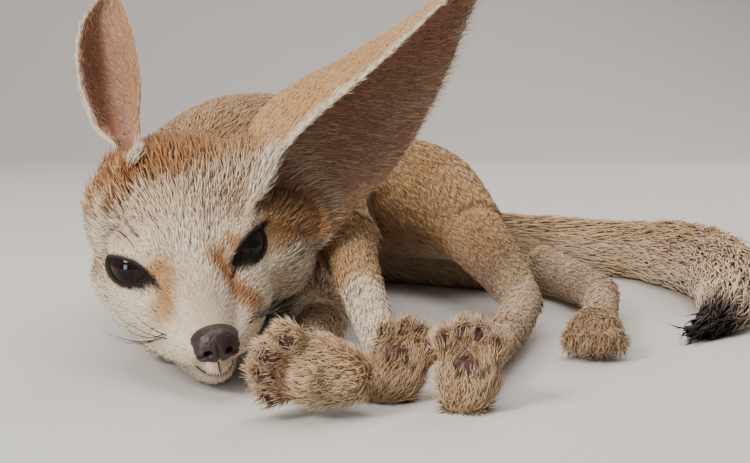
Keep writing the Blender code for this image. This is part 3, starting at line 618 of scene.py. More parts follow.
def cornerStreaks(local, side):  # 1 on the dark skin that runs on from both corners of the eye
    wide = headPose["lidOpening"][0]
    darkness = np.zeros(len(local))
    for corner, outward in (("inner", -side), ("outer", side)):
        drop, reach = eyeCorners[corner]
        start = (outward * wide * lidShare(corner == "inner"), 0.0)
        way = unit((outward, drop))
        along = np.clip((local[:, 1:] - start) @ way, -eyeCorners["back"], reach)
        across = np.linalg.norm(local[:, 1:] - start - along[:, None] * way, axis=1)
        half = eyeCorners["half"] * (1.0 - eyeCorners["taper"] * np.clip(along, 0.0, reach) / reach)
        darkness = np.maximum(darkness, stepBetween(*eyeCorners["soft"], across - half))
    return darkness


def refineNearEyes(skin):  # smaller faces there, so the lids come out thin
    form = bmesh.new()
    form.from_mesh(skin.data)
    places = np.array([v.co for v in form.verts]) / mm
    near = np.zeros(len(places), bool)
    for side in (1, -1):
        local = eyeCoordinates(places, side)
        near |= (np.linalg.norm(local, axis=1) < lids["reach"]) & (local[:, 0] > 0.0)
    edges = [edge for edge in form.edges if near[edge.verts[0].index] and near[edge.verts[1].index]]
    bmesh.ops.subdivide_edges(form, edges=edges, cuts=1)
    bmesh.ops.triangulate(form, faces=form.faces)
    form.to_mesh(skin.data)
    form.free()


def openLids(points):  # lids that lie close on the eyeball, and skin sunk behind it in the opening
    radius = headPose["eyeRadius"]
    for side in (1, -1):
        local = eyeCoordinates(points, side)
        distance = np.linalg.norm(local, axis=1)
        near = (distance < radius + lids["margin"]) & (local[:, 0] > lids["front"])
        gap = outsideAlmond(local[near], side)
        far = distance[near]
        hugging = radius + lids["over"] + lids["slope"] * np.maximum(gap, 0.0)
        far = far + (hugging - far) * stepBetween(*lids["hug"], gap)
        far = far + (radius - lids["sunk"] - far) * stepBetween(*lids["edge"], gap)
        local[near] *= (far / distance[near])[:, None]
        middle, axes = eyePlace(side)
        points[near] = local[near] @ axes + middle
    return points


def mouthHeight(forward):
    back = 1.0 - (forward - mouth["corner"]) / (mouth["front"] - mouth["corner"])
    return mouth["height"] + mouth["rise"] * np.clip(back, 0.0, 1.0) ** 2


def closeLips(points, normals):  # a groove where the lips meet
    ahead, left, up = toHead(points).T
    along = stepBetween(*mouth["cornerSoft"], ahead - mouth["corner"])
    away = np.abs(up - mouthHeight(ahead))
    depth = mouth["depth"] * along * stepBetween(mouth["half"], 0.0, away)
    depth *= np.abs(left) < mouth["wide"]
    return points - normals * depth[:, None]


def fillBrow(points, edges):  # an even slope from the bridge of the nose to the crown
    for number in range(brow["rounds"]):
        ahead, left, up = toHead(points).T
        wide = np.interp(up, *brow["halfWidth"])
        share = stepBetween(*brow["low"], up) * stepBetween(*brow["high"], up)
        share *= stepBetween(brow["fade"] * wide, wide, np.abs(left))
        share *= stepBetween(*brow["front"], ahead) * stepBetween(*brow["back"], ahead)
        points = points + brow["pull"] * share[:, None] * (neighbourMean(points, edges) - points)
    return points


def buildSkin():
    shapes = []
    addLimb(shapes, inFrame(body["spine"]), coatDepth["spine"])
    tail = inFrame(body["tail"])
    tail[:, 3] *= body["tailCore"]
    addLimb(shapes, tail, coatDepth["tail"])
    for part, depth in legDepth.items():
        for side in ("Left", "Right"):
            addLimb(shapes, inFrame(body[part + side]), depth)
    for name in paws:
        addPaw(shapes, name)
    for middle, radii, paired in skull["masses"]:
        for side in (1, -1) if paired else (1,):
            place = fromHead(np.array(middle) * (1, side, 1))
            addBall(shapes, place, np.array(radii) - coatDepth["head"], headAxes)
    for key in ("muzzle", "jaw", "lip", "leftCheek", "leftTemple"):
        addLimb(shapes, inHeadRows(skull[key]), coatDepth["head"])
    addLimb(shapes, inHeadRows(np.array(skull["lip"]) * (1, -1, 1, 1)), coatDepth["head"])
    for side in (1, -1):
        middle, axes = eyePlace(side)
        addBall(shapes, middle, [headPose["eyeRadius"] + skull["lid"]] * 3, axes)
    for name in earRows:
        addEar(shapes, name)
    skin = trianglePiece("skin", *joined(shapes))
    melt(skin, skinForm["voxel"], skinForm["share"])
    refineNearEyes(skin)
    edges = edgesOf(skin.data)
    points = eased(pointsOf(skin.data), edges, skinForm["easing"])
    points = fillBrow(points, edges)
    setPoints(skin.data, points)
    points = closeLips(points, normalsOf(skin.data))
    points = openLids(points)
    points[:, 2] = np.maximum(points[:, 2], floorGap)
    setPoints(skin.data, points)
    skin.data.shade_smooth()
    return skin


skin = buildSkin()
print("stage: skin,", len(skin.data.polygons), "faces")

# Which part each point of the skin belongs to, from the solid that lies nearest
fleshNodes = [name for name in nodes if not name.startswith(("claw_", "eye_")) and name != "nose"]


def nearestNodes(points):
    corners, faces, owners = [], [], []
    for number, name in enumerate(fleshNodes):
        mesh = nodes[name].data
        start = len(corners)
        corners += [v.co / mm for v in mesh.vertices]
        for polygon in mesh.polygons:
            faces.append([start + i for i in polygon.vertices])
            owners.append(number)
    tree = BVHTree.FromPolygons(corners, faces)
    return np.array([owners[tree.find_nearest(Vector(p))[2]] for p in points])


lineOfNode = {
    "neck": ("spine",),
    "torso_front": ("spine",),
    "torso_rear": ("spine",),
    "tail_base": ("tail",),
    "tail_brush": ("tail",),
    "foreleg_left_upper": ("armLeft",),
    "foreleg_left_lower": ("forearmLeft",),
    "foreleg_right": ("armRight", "forearmRight"),
    "hindleg_left_thigh": ("thighLeft",),
    "hindleg_left_shank": ("shankLeft",),
    "hindfoot_left": ("footLeft",),
    "hindleg_right": ("thighRight", "shankRight"),
    "hindfoot_right": ("footRight",),
}


def alongLine(points, keys):  # direction of the nearest stretch of a line, and how far along it lies
    rows = np.vstack([inFrame(body[key])[:, :3] for key in keys])
    rows = rows[np.r_[True, np.linalg.norm(np.diff(rows, axis=0), axis=1) > 0.1]]
    path = smoothPath(rows, 8)
    ways = unit(np.gradient(path, axis=0))
    nearest = np.argmin(((points[:, None] - path[None]) ** 2).sum(-1), axis=1)
    return ways[nearest], nearest / (len(path) - 1)


def tangential(ways, normals):
    return unit(ways - normals * (ways * normals).sum(1, keepdims=True))


# Length, width in mm, lift in degrees and tufts per square mm of the coat on each kind of part
coatKeys = ("length", "width", "lift", "density")
markings = ("sand", "rust", "dark", "pink", "leather")
coat = {
    "torso": (12.5, 0.60, 16.0, 0.86),
    "neck": (12.0, 0.76, 20.0, 0.85),
    "thigh": (9.5, 0.62, 16.0, 0.92),
    "leg": (6.0, 0.55, 17.0, 1.15),
    "foot": (4.8, 0.50, 18.0, 1.3),
    "paw": (6.2, 0.30, 31.0, 3.7),
    "head": (6.0, 0.45, 20.0, 2.6),
    "ear": (3.6, 0.44, 14.0, 1.45),
    "tail_base": (13.0, 0.95, 20.0, 0.75),
    "tail_brush": (24.0, 1.10, 23.0, 0.78),
}
coatLie = {"sag": 0.30, "soleward": 0.45, "tailShorter": 0.35, "wayRounds": 14, "fieldRounds": 6}
faceCoat = {  # the coat's length at a distance from the nose, and the rest by that length
    "length": ((0, 6, 14, 26, 36, 46, 58, 70), (0.9, 1.5, 2.5, 3.9, 5.4, 7.5, 9.5, 10.5)),
    "width": ((0.9, 2.5, 8.0), (0.28, 0.36, 0.48)),
    "density": ((0.9, 2.5, 6.0, 9.0), (4.8, 4.0, 2.8, 1.9)),
    "lift": ((0.9, 3.0, 9.0), (17.0, 22.0, 24.0)),
}
crownCoat = {"up": (9.0, 25.0), "back": (6.0, -12.0), "lift": 13.0, "length": 2.5}
lidCoat = {"near": 18.0, "short": 9.0, "length": 1.3, "growing": 0.42, "bare": 0.9, "dark": (1.1, 0.4)}
earInside = {"length": 3.4, "width": 0.28, "lift": 25.0, "density": 1.7}
earFringe = {
    "root": (0.36, 0.14),  # shares of the ear's length between which the fringe grows towards the root
    "edge": 0.05,
    "rootEdge": 0.12,
    "length": 0.6,
    "rootLength": 4.5,
    "thinner": 0.1,
    "rootLift": 16.0,
    "rear": (0.90, 0.98),
    "rearLength": 0.8,
}
earStream = {"from": (0.04, 0.2), "to": (0.95, 0.7), "across": 1.1, "tipShorter": 0.3}
unruly = {  # shares of dark tufts, and how far tufts stray from their way
    "grizzleHead": 0.015,
    "grizzleBody": 0.04,
    "grizzleBrow": 0.085,
    "browUp": (2.0, 8.0),
    "browBack": (14.0, 6.0),
    "strayPaw": 0.32,
    "stray": 0.13,
}
underside = {"facing": (-0.2, -0.7), "height": (20.0, 12.0), "thinner": 0.6}  # pressed on the floor
padEdge = {"bare": (1.12, 0.92), "front": (0.0, 1.2), "frontFrom": 0.6, "clear": (0.25, 0.6)}
kindOfNode = {
    "torso_front": "torso",
    "torso_rear": "torso",
    "neck": "neck",
    "tail_base": "tail_base",
    "tail_brush": "tail_brush",
    "foreleg_left_upper": "thigh",
    "hindleg_left_thigh": "thigh",
    "foreleg_left_lower": "leg",
    "foreleg_right": "leg",
    "hindleg_left_shank": "leg",
    "hindleg_right": "leg",
    "hindfoot_left": "foot",
    "hindfoot_right": "foot",
    "forepaw_left": "paw",
    "forepaw_right": "paw",
    "hindpaw_left": "paw",
    "hindpaw_right": "paw",
    "head": "head",
    "ear_left": "ear",
    "ear_right": "ear",
}
noseTip = (36.0, 0.0, -13.0)


def padShare(points, name):  # 1 on the bare pads of a paw
    place, axes = pawFrame(name)
    local = (points - place) @ axes.T / paws[name][3] ** 2
    share = np.zeros(len(points))
    padBalls = [] if name == "forepaw_right" else [pads["palm"]]  # fur hides that one's palm
    for side, reach in toeRows():
        (x, y, z), radii = pads["toe"]
        padBalls.append(((reach + x, side + y, z), radii))
    for middle, radii in padBalls:
        bare = stepBetween(*padEdge["bare"], np.linalg.norm((local - middle) / radii, axis=1))
        front = stepBetween(*padEdge["front"], local[:, 2] - middle[2] + padEdge["frontFrom"])
        share = np.maximum(share, bare * front)
    return share


def earSheet(points, name):  # 1 inside the cup and 0 behind it, share to the tip, share across, the tip's way
    grid = earGrid(name)
    normals = gridNormals(grid)
    rows, columns = grid.shape[:2]
    flat = grid.reshape(-1, 3)
    chunks = np.array_split(points, 60)
    nearest = np.concatenate([np.argmin(((p[:, None] - flat[None]) ** 2).sum(-1), axis=1) for p in chunks])
    hollow = (grid[rows // 2, 0] + grid[rows // 2, -1]) / 2 - grid[rows // 2, columns // 2]
    normals *= np.sign((normals[rows // 2, columns // 2] * hollow).sum())
    inside = ((points - flat[nearest]) * normals.reshape(-1, 3)[nearest]).sum(1) > 0
    tipward = unit(np.gradient(grid, axis=0)).reshape(-1, 3)[nearest]
    across = unit(np.gradient(grid, axis=1)).reshape(-1, 3)[nearest]
    widths = np.linalg.norm(np.diff(grid, axis=1), axis=2).sum(1)
    row, column = nearest // columns, nearest % columns
    return inside, row / (rows - 1), column / (columns - 1), tipward, across, widths[row]


def layCoat(field, ways, points, owner):  # the coat's lie, by the kind of part
    for number, name in enumerate(fleshNodes):
        mine = owner == number
        kind = kindOfNode[name]
        for key, value in zip(coatKeys, coat[kind]):
            field[key][mine] = value
        if name in lineOfNode:
            ways[mine], along = alongLine(points[mine], lineOfNode[name])
            if kind in ("torso", "neck", "thigh"):
                ways[mine] += (0.0, 0.0, -coatLie["sag"])
            if kind == "tail_brush":
                field["length"][mine] *= 1.0 - coatLie["tailShorter"] * along
        elif kind == "paw":
            axes = pawFrame(name)[1]
            ways[mine] = axes[0] + coatLie["soleward"] * axes[2]
            field["leather"][mine] = padShare(points[mine], name)
        elif kind == "head":
            ways[mine] = unit(points[mine] - fromHead(noseTip))


def layEarCoat(field, ways, points, owner):
    ear = {key: np.zeros(len(points)) for key in ("side", "tip", "across", "width")}
    for name in earRows:
        mine = nodeIs(owner, name)
        inside, tip, share, tipward, across, width = earSheet(points[mine], name)
        ear["side"][mine] = np.where(inside, 1.0, -1.0)
        ear["tip"][mine], ear["across"][mine], ear["width"][mine] = tip, share, width
        streaming = stepBetween(*earStream["from"], share) * stepBetween(*earStream["to"], tip)
        ways[mine] = tipward + across * (inside * streaming * earStream["across"])[:, None]
        field["length"][mine] *= 1.0 - earStream["tipShorter"] * tip
        for key, value in earInside.items():
            field[key][mine] = np.where(inside, value, field[key][mine])
        root = stepBetween(*earFringe["root"], tip)
        frontEdge = stepBetween(earFringe["edge"] + earFringe["rootEdge"] * root, 0.01, share)
        field["length"][mine] += frontEdge * (earFringe["length"] + earFringe["rootLength"] * root)
        field["width"][mine] -= frontEdge * earFringe["thinner"] * (1.0 - root)
        field["lift"][mine] += frontEdge * earFringe["rootLift"] * root
        field["length"][mine] += earFringe["rearLength"] * stepBetween(*earFringe["rear"], share)
    return ear


def layFaceCoat(field, points, owner):
    head = nodeIs(owner, "head")
    local = toHead(points)
    ahead, up = local[:, 0], local[:, 2]
    length = np.interp(np.linalg.norm(local - noseTip, axis=1), *faceCoat["length"])
    field["length"][head] = length[head]
    for key in ("width", "density", "lift"):
        field[key][head] = np.interp(length[head], *faceCoat[key])
    crown = head * stepBetween(*crownCoat["up"], up) * stepBetween(*crownCoat["back"], ahead)
    for key in ("lift", "length"):
        field[key] += crownCoat[key] * crown
    grizzle = np.where(head, unruly["grizzleHead"], unruly["grizzleBody"]) * (field["leather"] < 0.1)
    forehead = head * stepBetween(*unruly["browUp"], up) * stepBetween(*unruly["browBack"], ahead)
    field["grizzle"] = grizzle + unruly["grizzleBrow"] * forehead
    field["stray"] = np.where(nodeIs(owner, *paws), unruly["strayPaw"], unruly["stray"])
    for side in (1, -1):
        toEye = eyeCoordinates(points, side)
        close = head & (np.linalg.norm(toEye, axis=1) < lidCoat["near"]) & (toEye[:, 0] > 0.0)
        gap = np.full(len(points), 99.0)
        gap[close] = outsideAlmond(toEye[close], side)
        short = np.minimum(field["length"], lidCoat["length"] + lidCoat["growing"] * np.maximum(gap, 0.0))
        field["length"] = np.where(gap < lidCoat["short"], short, field["length"])
        field["density"] = np.where(gap < lidCoat["bare"], 0.0, field["density"])
        field["dark"] = np.maximum(field["dark"], stepBetween(*lidCoat["dark"], gap))
        field["dark"][close] = np.maximum(field["dark"][close], cornerStreaks(toEye[close], side))


def skinFields(skin):
    mesh = skin.data
    points, normals = pointsOf(mesh), normalsOf(mesh)
    owner = nearestNodes(points)
    field = {key: np.zeros(len(points)) for key in coatKeys + markings}
    ways = np.zeros_like(points)
    layCoat(field, ways, points, owner)
    ear = layEarCoat(field, ways, points, owner)
    layFaceCoat(field, points, owner)
    paintFields(field, points, owner, ear)
    field["density"] *= 1.0 - stepBetween(*padEdge["clear"], field["leather"])
    hidden = stepBetween(*underside["facing"], normals[:, 2])
    hidden = hidden * stepBetween(*underside["height"], points[:, 2])
    field["density"] *= 1.0 - underside["thinner"] * hidden
    ways = tangential(ways, normals)
    edges = edgesOf(mesh)
    for number in range(coatLie["wayRounds"]):
        ways = tangential(ways + neighbourMean(ways, edges), normals)
    for key in coatKeys:
        for number in range(coatLie["fieldRounds"]):
            field[key] = 0.5 * field[key] + 0.5 * neighbourMean(field[key][:, None], edges)[:, 0]
    return field, points, normals, ways, owner, ear


def nodeIs(owner, *names):
    return np.isin(owner, [fleshNodes.index(name) for name in names])


def nearSegment(points, start, end):
    start, way = np.array(start, float), np.array(end, float) - start
    share = np.clip((points - start) @ way / (way @ way), 0.0, 1.0)
    return np.linalg.norm(points - start - share[:, None] * way, axis=1)


# Markings of the head: lines below the inner corners of the eyes in the head's own millimetres, half
# their width and how brown they are, and the height at which the crown's colour starts
tearStreaks = {
    "right": (((6.5, -8.5, 0.7), (10.3, -8.0, -2.0), (13.5, -9.0, -5.5), (16.5, -10.3, -8.5)), 4.0, 0.30),
    "left": (((7.0, 7.0, 0.6), (12.4, 8.8, -5.0), (15.0, 10.5, -8.0), (17.4, 13.5, -10.6)), 3.4, 0.80),
}
eyePatches = (  # tan places above the inner corners and at the outer ones: middle, radius and how brown
    ((4.6, 12.2, 4.2), 3.0, 0.42),
    ((6.2, -10.6, 0.6), 3.2, 0.35),
    ((-7.0, 25.5, 1.5), 5.0, 0.5),
    ((-8.0, -24.0, 2.0), 4.5, 0.4),
)
crownEdge = {"height": 18.6, "fall": 0.024, "fallFrom": 4.0, "soft": 2.6, "front": (2.0, -4.0)}
headMarks = {  # where each starts and is full, in the head's own millimetres: ahead, to a side and up
    "nape": {"ahead": (-17.0, -30.0), "up": (-12.0, 4.0)},
    "temple": {"ahead": (6.0, -2.0), "aside": (20.0, 27.0), "up": (-5.5, -1.5), "slope": 0.2},
    "brow": {"ahead": (18.0, 4.0), "up": (2.0, 14.0)},
    "bridge": {"ahead": (12.0, 20.0), "aside": (6.5, 2.5), "up": (-13.0, -9.5)},
    # the lips' band: dark lip edge, and painted shade in the crease where the lips meet
    "lips": {"half": (1.5, 0.6), "corner": (-1.0, 3.0), "dark": 0.5},
}
crownRust = ((-21.0, -16.0, 8.0, 18.0), (0.35, 1.0, 0.85, 0.35))  # from the right side to the left
headShades = {
    "plain": 0.06,
    "brow": 0.36,
    "temple": (0.85, 0.42),
    "bridge": (0.30, 0.10),
    "streak": 0.95,
    "streakSoft": 1.75,
    "patch": 0.9,
    "patchSoft": (1.5, 0.2),
}
bodyShades = {  # how sandy and how brown
    "back": (0.84, 0.18),
    "belly": (0.45, 0.16),  # less than the back
    "paws": (0.66, 0.14),
    "bellyHeight": (30.0, 12.0),
    "shin": (-84.0, -97.0),
    "shinLess": 0.85,
    "tailEnd": (36.0, 22.0),
}
# Pale edges of the ears, as shares across from the front edge: at mid-length, near the root and at the
# rear edge, and up to which share of the length the front edge stays white
earEdges = {
    "ear_left": {"front": 0.03, "root": 0.14, "rear": 1.2, "whiteTo": 1.2},
    "ear_right": {"front": 0.05, "root": 0.17, "rear": 0.955, "whiteTo": 0.33},
}
earShades = {
    "along": (0.12, 0.34, 0.75, 1.0),  # shares of the ear's length at which the pale edge's width is given
    "tipWider": 2.6,
    "frontSoft": (1.35, 0.6),
    "whiteSoft": (0.04, -0.04),
    "rearSoft": (-0.02, 0.01),
    "inside": 0.60,
    "outside": 0.92,
    "tipPaler": ((0.6, 1.0), 0.35),
    "brown": 0.17,
    "pink": 0.85,
    "rim": 0.95,
    "tanEdge": (0.22, 0.12),
    "tan": (0.85, 0.40),
    "lobe": (6.0, -3.0),
    "lobeFrom": 40.0,
    "lobeSlope": 0.1,
    "lobeTan": (0.85, 0.38),
}


def paintHead(field, local, head):
    ahead, left, up = local.T
    aside = np.abs(left)
    nape, temple, brows = headMarks["nape"], headMarks["temple"], headMarks["brow"]
    bridge, lips = headMarks["bridge"], headMarks["lips"]
    edge = crownEdge["height"] - crownEdge["fall"] * np.maximum(-left - crownEdge["fallFrom"], 0.0) ** 2
    crown = stepBetween(-crownEdge["soft"], crownEdge["soft"], up - edge)
    crown = crown * stepBetween(*crownEdge["front"], ahead)
    crown = np.maximum(crown, stepBetween(*nape["ahead"], ahead) * stepBetween(*nape["up"], up))
    onTemple = stepBetween(*temple["up"], up - temple["slope"] * ahead) * stepBetween(*temple["aside"], aside)
    onTemple *= stepBetween(*temple["ahead"], ahead)
    onBrow = stepBetween(*brows["up"], up) * stepBetween(*brows["ahead"], ahead)
    sand = np.maximum(headShades["plain"] + headShades["brow"] * onBrow, crown)
    sand = np.maximum(sand, headShades["temple"][0] * onTemple)
    rust = np.maximum(crown * np.interp(left, *crownRust), headShades["temple"][1] * onTemple)
    onBridge = stepBetween(*bridge["aside"], aside) * stepBetween(*bridge["ahead"], ahead)
    onBridge *= stepBetween(*bridge["up"], up)
    sand = np.maximum(sand, headShades["bridge"][0] * onBridge)
    field["dark"] = np.maximum(field["dark"], headShades["bridge"][1] * onBridge)
    for path, half, brown in tearStreaks.values():
        away = np.minimum.reduce([nearSegment(local, a, b) for a, b in zip(path, path[1:])])
        streak = stepBetween(half * headShades["streakSoft"], 0.0, away)
        sand = np.maximum(sand, streak * headShades["streak"])
        rust = np.maximum(rust, streak * brown)
    for place, size, brown in eyePatches:
        wide, full = (size * share for share in headShades["patchSoft"])
        patch = stepBetween(wide, full, np.linalg.norm(local - place, axis=1)) * head
        sand = np.maximum(sand, patch * headShades["patch"])
        rust = np.maximum(rust, patch * brown)
    # dark lip edge and painted shade in the crease where the lips meet: bare of coat and darkened along the
    # groove
    onLips = head * stepBetween(*lips["corner"], ahead - mouth["corner"]) * (aside < mouth["wide"])
    onLips *= stepBetween(*lips["half"], np.abs(up - mouthHeight(ahead)))
    field["density"] *= 1.0 - onLips
    field["dark"] = np.maximum(field["dark"], lips["dark"] * onLips)
    return sand, rust


def paintBody(field, points, owner, sand, rust, head, ears):
    sand, rust = (np.where(head, on, shade) for on, shade in zip((sand, rust), bodyShades["back"]))
    feet = nodeIs(owner, *paws)
    pale = stepBetween(*bodyShades["bellyHeight"], points[:, 2]) * ~head * ~ears * ~feet
    sand, rust = (on - less * pale for on, less in zip((sand, rust), bodyShades["belly"]))
    sand, rust = (np.where(feet, shade, on) for on, shade in zip((sand, rust), bodyShades["paws"]))
    shin = nodeIs(owner, "foreleg_left_lower") * stepBetween(*bodyShades["shin"], points[:, 1])
    tailEnd = np.linalg.norm(points - (np.array(body["tail"][-1][:3]) + shift), axis=1)
    tip = nodeIs(owner, "tail_brush") * stepBetween(*bodyShades["tailEnd"], tailEnd)
    field["dark"] = np.maximum(field["dark"], tip)
    return sand - bodyShades["shinLess"] * shin * sand, rust - rust * shin


def paintEars(field, local, owner, ear, sand, rust, ears):
    inside = ears & (ear["side"] > 0)
    rim, tanEdge = np.zeros(len(local)), np.zeros(len(local))
    for name, settings in earEdges.items():
        mine = nodeIs(owner, name)
        wide = settings["front"]
        widths = (settings["root"], wide, wide, earShades["tipWider"] * wide)
        half = np.interp(ear["tip"], earShades["along"], widths)
        front = stepBetween(*(half * share for share in earShades["frontSoft"]), ear["across"])
        white = stepBetween(*(settings["whiteTo"] + more for more in earShades["whiteSoft"]), ear["tip"])
        rear = stepBetween(*(settings["rear"] + more for more in earShades["rearSoft"]), ear["across"])
        rim = np.where(mine, np.maximum(front * white, rear), rim)
        tanEdge = np.where(mine, stepBetween(*earShades["tanEdge"], ear["across"]) * (1.0 - white), tanEdge)
    tanEdge *= inside
    paler, less = earShades["tipPaler"]
    backSand = earShades["outside"] - less * stepBetween(*paler, ear["tip"])
    sand = np.where(ears, np.where(inside, earShades["inside"], backSand), sand)
    sand = sand * (1.0 - earShades["rim"] * rim)
    rust = np.where(ears, earShades["brown"], rust) * (1.0 - rim)
    field["pink"] = inside * earShades["pink"] * (1.0 - rim) * (1.0 - 0.5 * tanEdge)
    left, up = local[:, 1], local[:, 2]
    slanted = up - earShades["lobeSlope"] * (left - earShades["lobeFrom"])
    lobe = nodeIs(owner, "ear_left") * stepBetween(*earShades["lobe"], slanted)
    field["pink"] *= 1.0 - lobe
    for mark, shades in ((tanEdge, earShades["tan"]), (lobe, earShades["lobeTan"])):
        sand, rust = (np.maximum(on, shade * mark) for on, shade in zip((sand, rust), shades))
    return sand, rust


def paintFields(field, points, owner, ear):  # the markings, each from 0 to 1
    local = toHead(points)
    head, ears = nodeIs(owner, "head"), nodeIs(owner, *earRows)
    sand, rust = paintHead(field, local, head)
    sand, rust = paintBody(field, points, owner, sand, rust, head, ears)
    sand, rust = paintEars(field, local, owner, ear, sand, rust, ears)
    field["sand"], field["rust"] = np.clip(sand, 0.0, 1.0), np.clip(rust, 0.0, 1.0)


field, skinPoints, skinNormals, skinWays, skinOwner, ear = skinFields(skin)
print("stage: lie of the coat and markings")

# One unwrap of the skin, which the tufts share at their roots
unwrap = {"angle": 66.0, "margin": 0.002, "patch": 0.0028}


def unwrapSkin():
    bpy.ops.object.select_all(action="DESELECT")
    skin.select_set(True)
    bpy.context.view_layer.objects.active = skin
    skin.data.uv_layers.new(name="OFBake")
    bpy.ops.object.mode_set(mode="EDIT")
    bpy.ops.mesh.select_all(action="SELECT")
    bpy.ops.uv.smart_project(angle_limit=math.radians(unwrap["angle"]), island_margin=unwrap["margin"])
    bpy.ops.object.mode_set(mode="OBJECT")


def setAttribute(mesh, name, values):
    attribute = mesh.attributes.new(name, "FLOAT", "POINT")
    attribute.data.foreach_set("value", np.asarray(values, np.float32))


unwrapSkin()
for key in markings:
    setAttribute(skin.data, key, field[key])
skin.data.calc_loop_triangles()
triangleCount = len(skin.data.loop_triangles)
skinTriangles = np.zeros(triangleCount * 3, np.int32)
skin.data.loop_triangles.foreach_get("vertices", skinTriangles)
skinTriangles = skinTriangles.reshape(-1, 3)
triangleLoops = np.zeros(triangleCount * 3, np.int32)
skin.data.loop_triangles.foreach_get("loops", triangleLoops)
skinUv = np.zeros(len(skin.data.loops) * 2, np.float32)
skin.data.uv_layers["OFBake"].data.foreach_get("uv", skinUv)
triangleUv = skinUv.reshape(-1, 2)[triangleLoops].reshape(-1, 3, 2)
print("stage: unwrap")


def spread(density):  # roots on the skin: triangle and place in it, about so many per square millimetre
    corners = skinPoints[skinTriangles]
    first, second = corners[:, 1] - corners[:, 0], corners[:, 2] - corners[:, 0]
    area = 0.5 * np.linalg.norm(np.cross(first, second), axis=1)
    share = area * density[skinTriangles].mean(1)
    total = np.cumsum(share)
    marks = np.arange(int(total[-1])) + dice.uniform(0.0, 1.0, int(total[-1]))
    chosen = np.minimum(np.searchsorted(total, marks), triangleCount - 1)
    a, b = dice.uniform(0.0, 1.0, (2, len(chosen)))
    over = a + b > 1.0
    a, b = np.where(over, 1.0 - a, a), np.where(over, 1.0 - b, b)
    return chosen, np.column_stack([1.0 - a - b, a, b])


def readAt(values, chosen, weights):
    return (values[skinTriangles[chosen]] * (weights[..., None] if values.ndim > 1 else weights)).sum(1)


# Colours and finishes
colours = {
    "cream": (0.90, 0.81, 0.67),
    "sand": (0.62, 0.39, 0.18),
    "rust": (0.40, 0.165, 0.055),
    "pink": (0.40, 0.20, 0.145),
    "leather": (0.135, 0.070, 0.068),
    "dark": (0.030, 0.020, 0.016),
}


def addNode(tree, kind, **values):
    node = tree.nodes.new(kind)
    for key, value in values.items():
        if key in node.inputs:
            node.inputs[key].default_value = value
        else:
            setattr(node, key, value)
    return node


def readMark(tree, name):
    return addNode(tree, "ShaderNodeAttribute", attribute_name=name).outputs["Fac"]


mixSockets = {"factor": 0, "first": 6, "second": 7, "result": 2}  # of a colour Mix node


def mixColour(tree, factor, first, second, blend="MIX"):
    node = addNode(tree, "ShaderNodeMix", data_type="RGBA", blend_type=blend)
    for key, value in (("factor", factor), ("first", first), ("second", second)):
        socket = node.inputs[mixSockets[key]]
        if isinstance(value, bpy.types.NodeSocket):
            tree.links.new(value, socket)
        elif isinstance(value, (int, float)):
            socket.default_value = value
        else:
            socket.default_value = (*value, 1.0)
    return node.outputs[mixSockets["result"]]


def calculate(tree, operation, first, second=None, third=None):
    node = addNode(tree, "ShaderNodeMath", operation=operation)
    for socket, value in zip(node.inputs, (first, second, third)):
        if isinstance(value, bpy.types.NodeSocket):
            tree.links.new(value, socket)
        elif value is not None:
            socket.default_value = value
    return node.outputs[0]


def newGroup(name, inputs, outputs):
    tree = bpy.data.node_groups.new(name, "ShaderNodeTree")
    for direction, sockets in (("INPUT", inputs), ("OUTPUT", outputs)):
        for key, kind in sockets.items():
            tree.interface.new_socket(name=key, in_out=direction, socket_type="NodeSocket" + kind)
    return tree, tree.nodes.new("NodeGroupInput").outputs, tree.nodes.new("NodeGroupOutput").inputs


def objectPlace(tree):
    return tree.nodes.new("ShaderNodeTexCoord").outputs["Object"]


def addTexture(tree, kind, place, **values):
    node = addNode(tree, kind, **values)
    tree.links.new(place, node.inputs["Vector"])
    return node


def addBump(tree, height, strength, distance):
    bump = addNode(tree, "ShaderNodeBump", Strength=strength, Distance=distance)
    tree.links.new(height, bump.inputs["Height"])
    return bump.outputs["Normal"]


furColour = {
    "cloudScale": 55.0,
    "cloud": 0.5,  # how much clouds change the sand's share, and how much it differs from tuft to tuft
    "fleck": 0.24,
    "light": (0.55, 0.50),  # painted shade along each tuft, darkest at the root: brightness gained up to the tip, and at the root
    "fleckLight": (0.32, 0.84),  # gained from the darkest tuft to the lightest, and in the darkest
    "power": (0.8, 1.0, 1.25),  # of that painted shade in red, green and blue: the shaded roots are warmer as well as darker
}


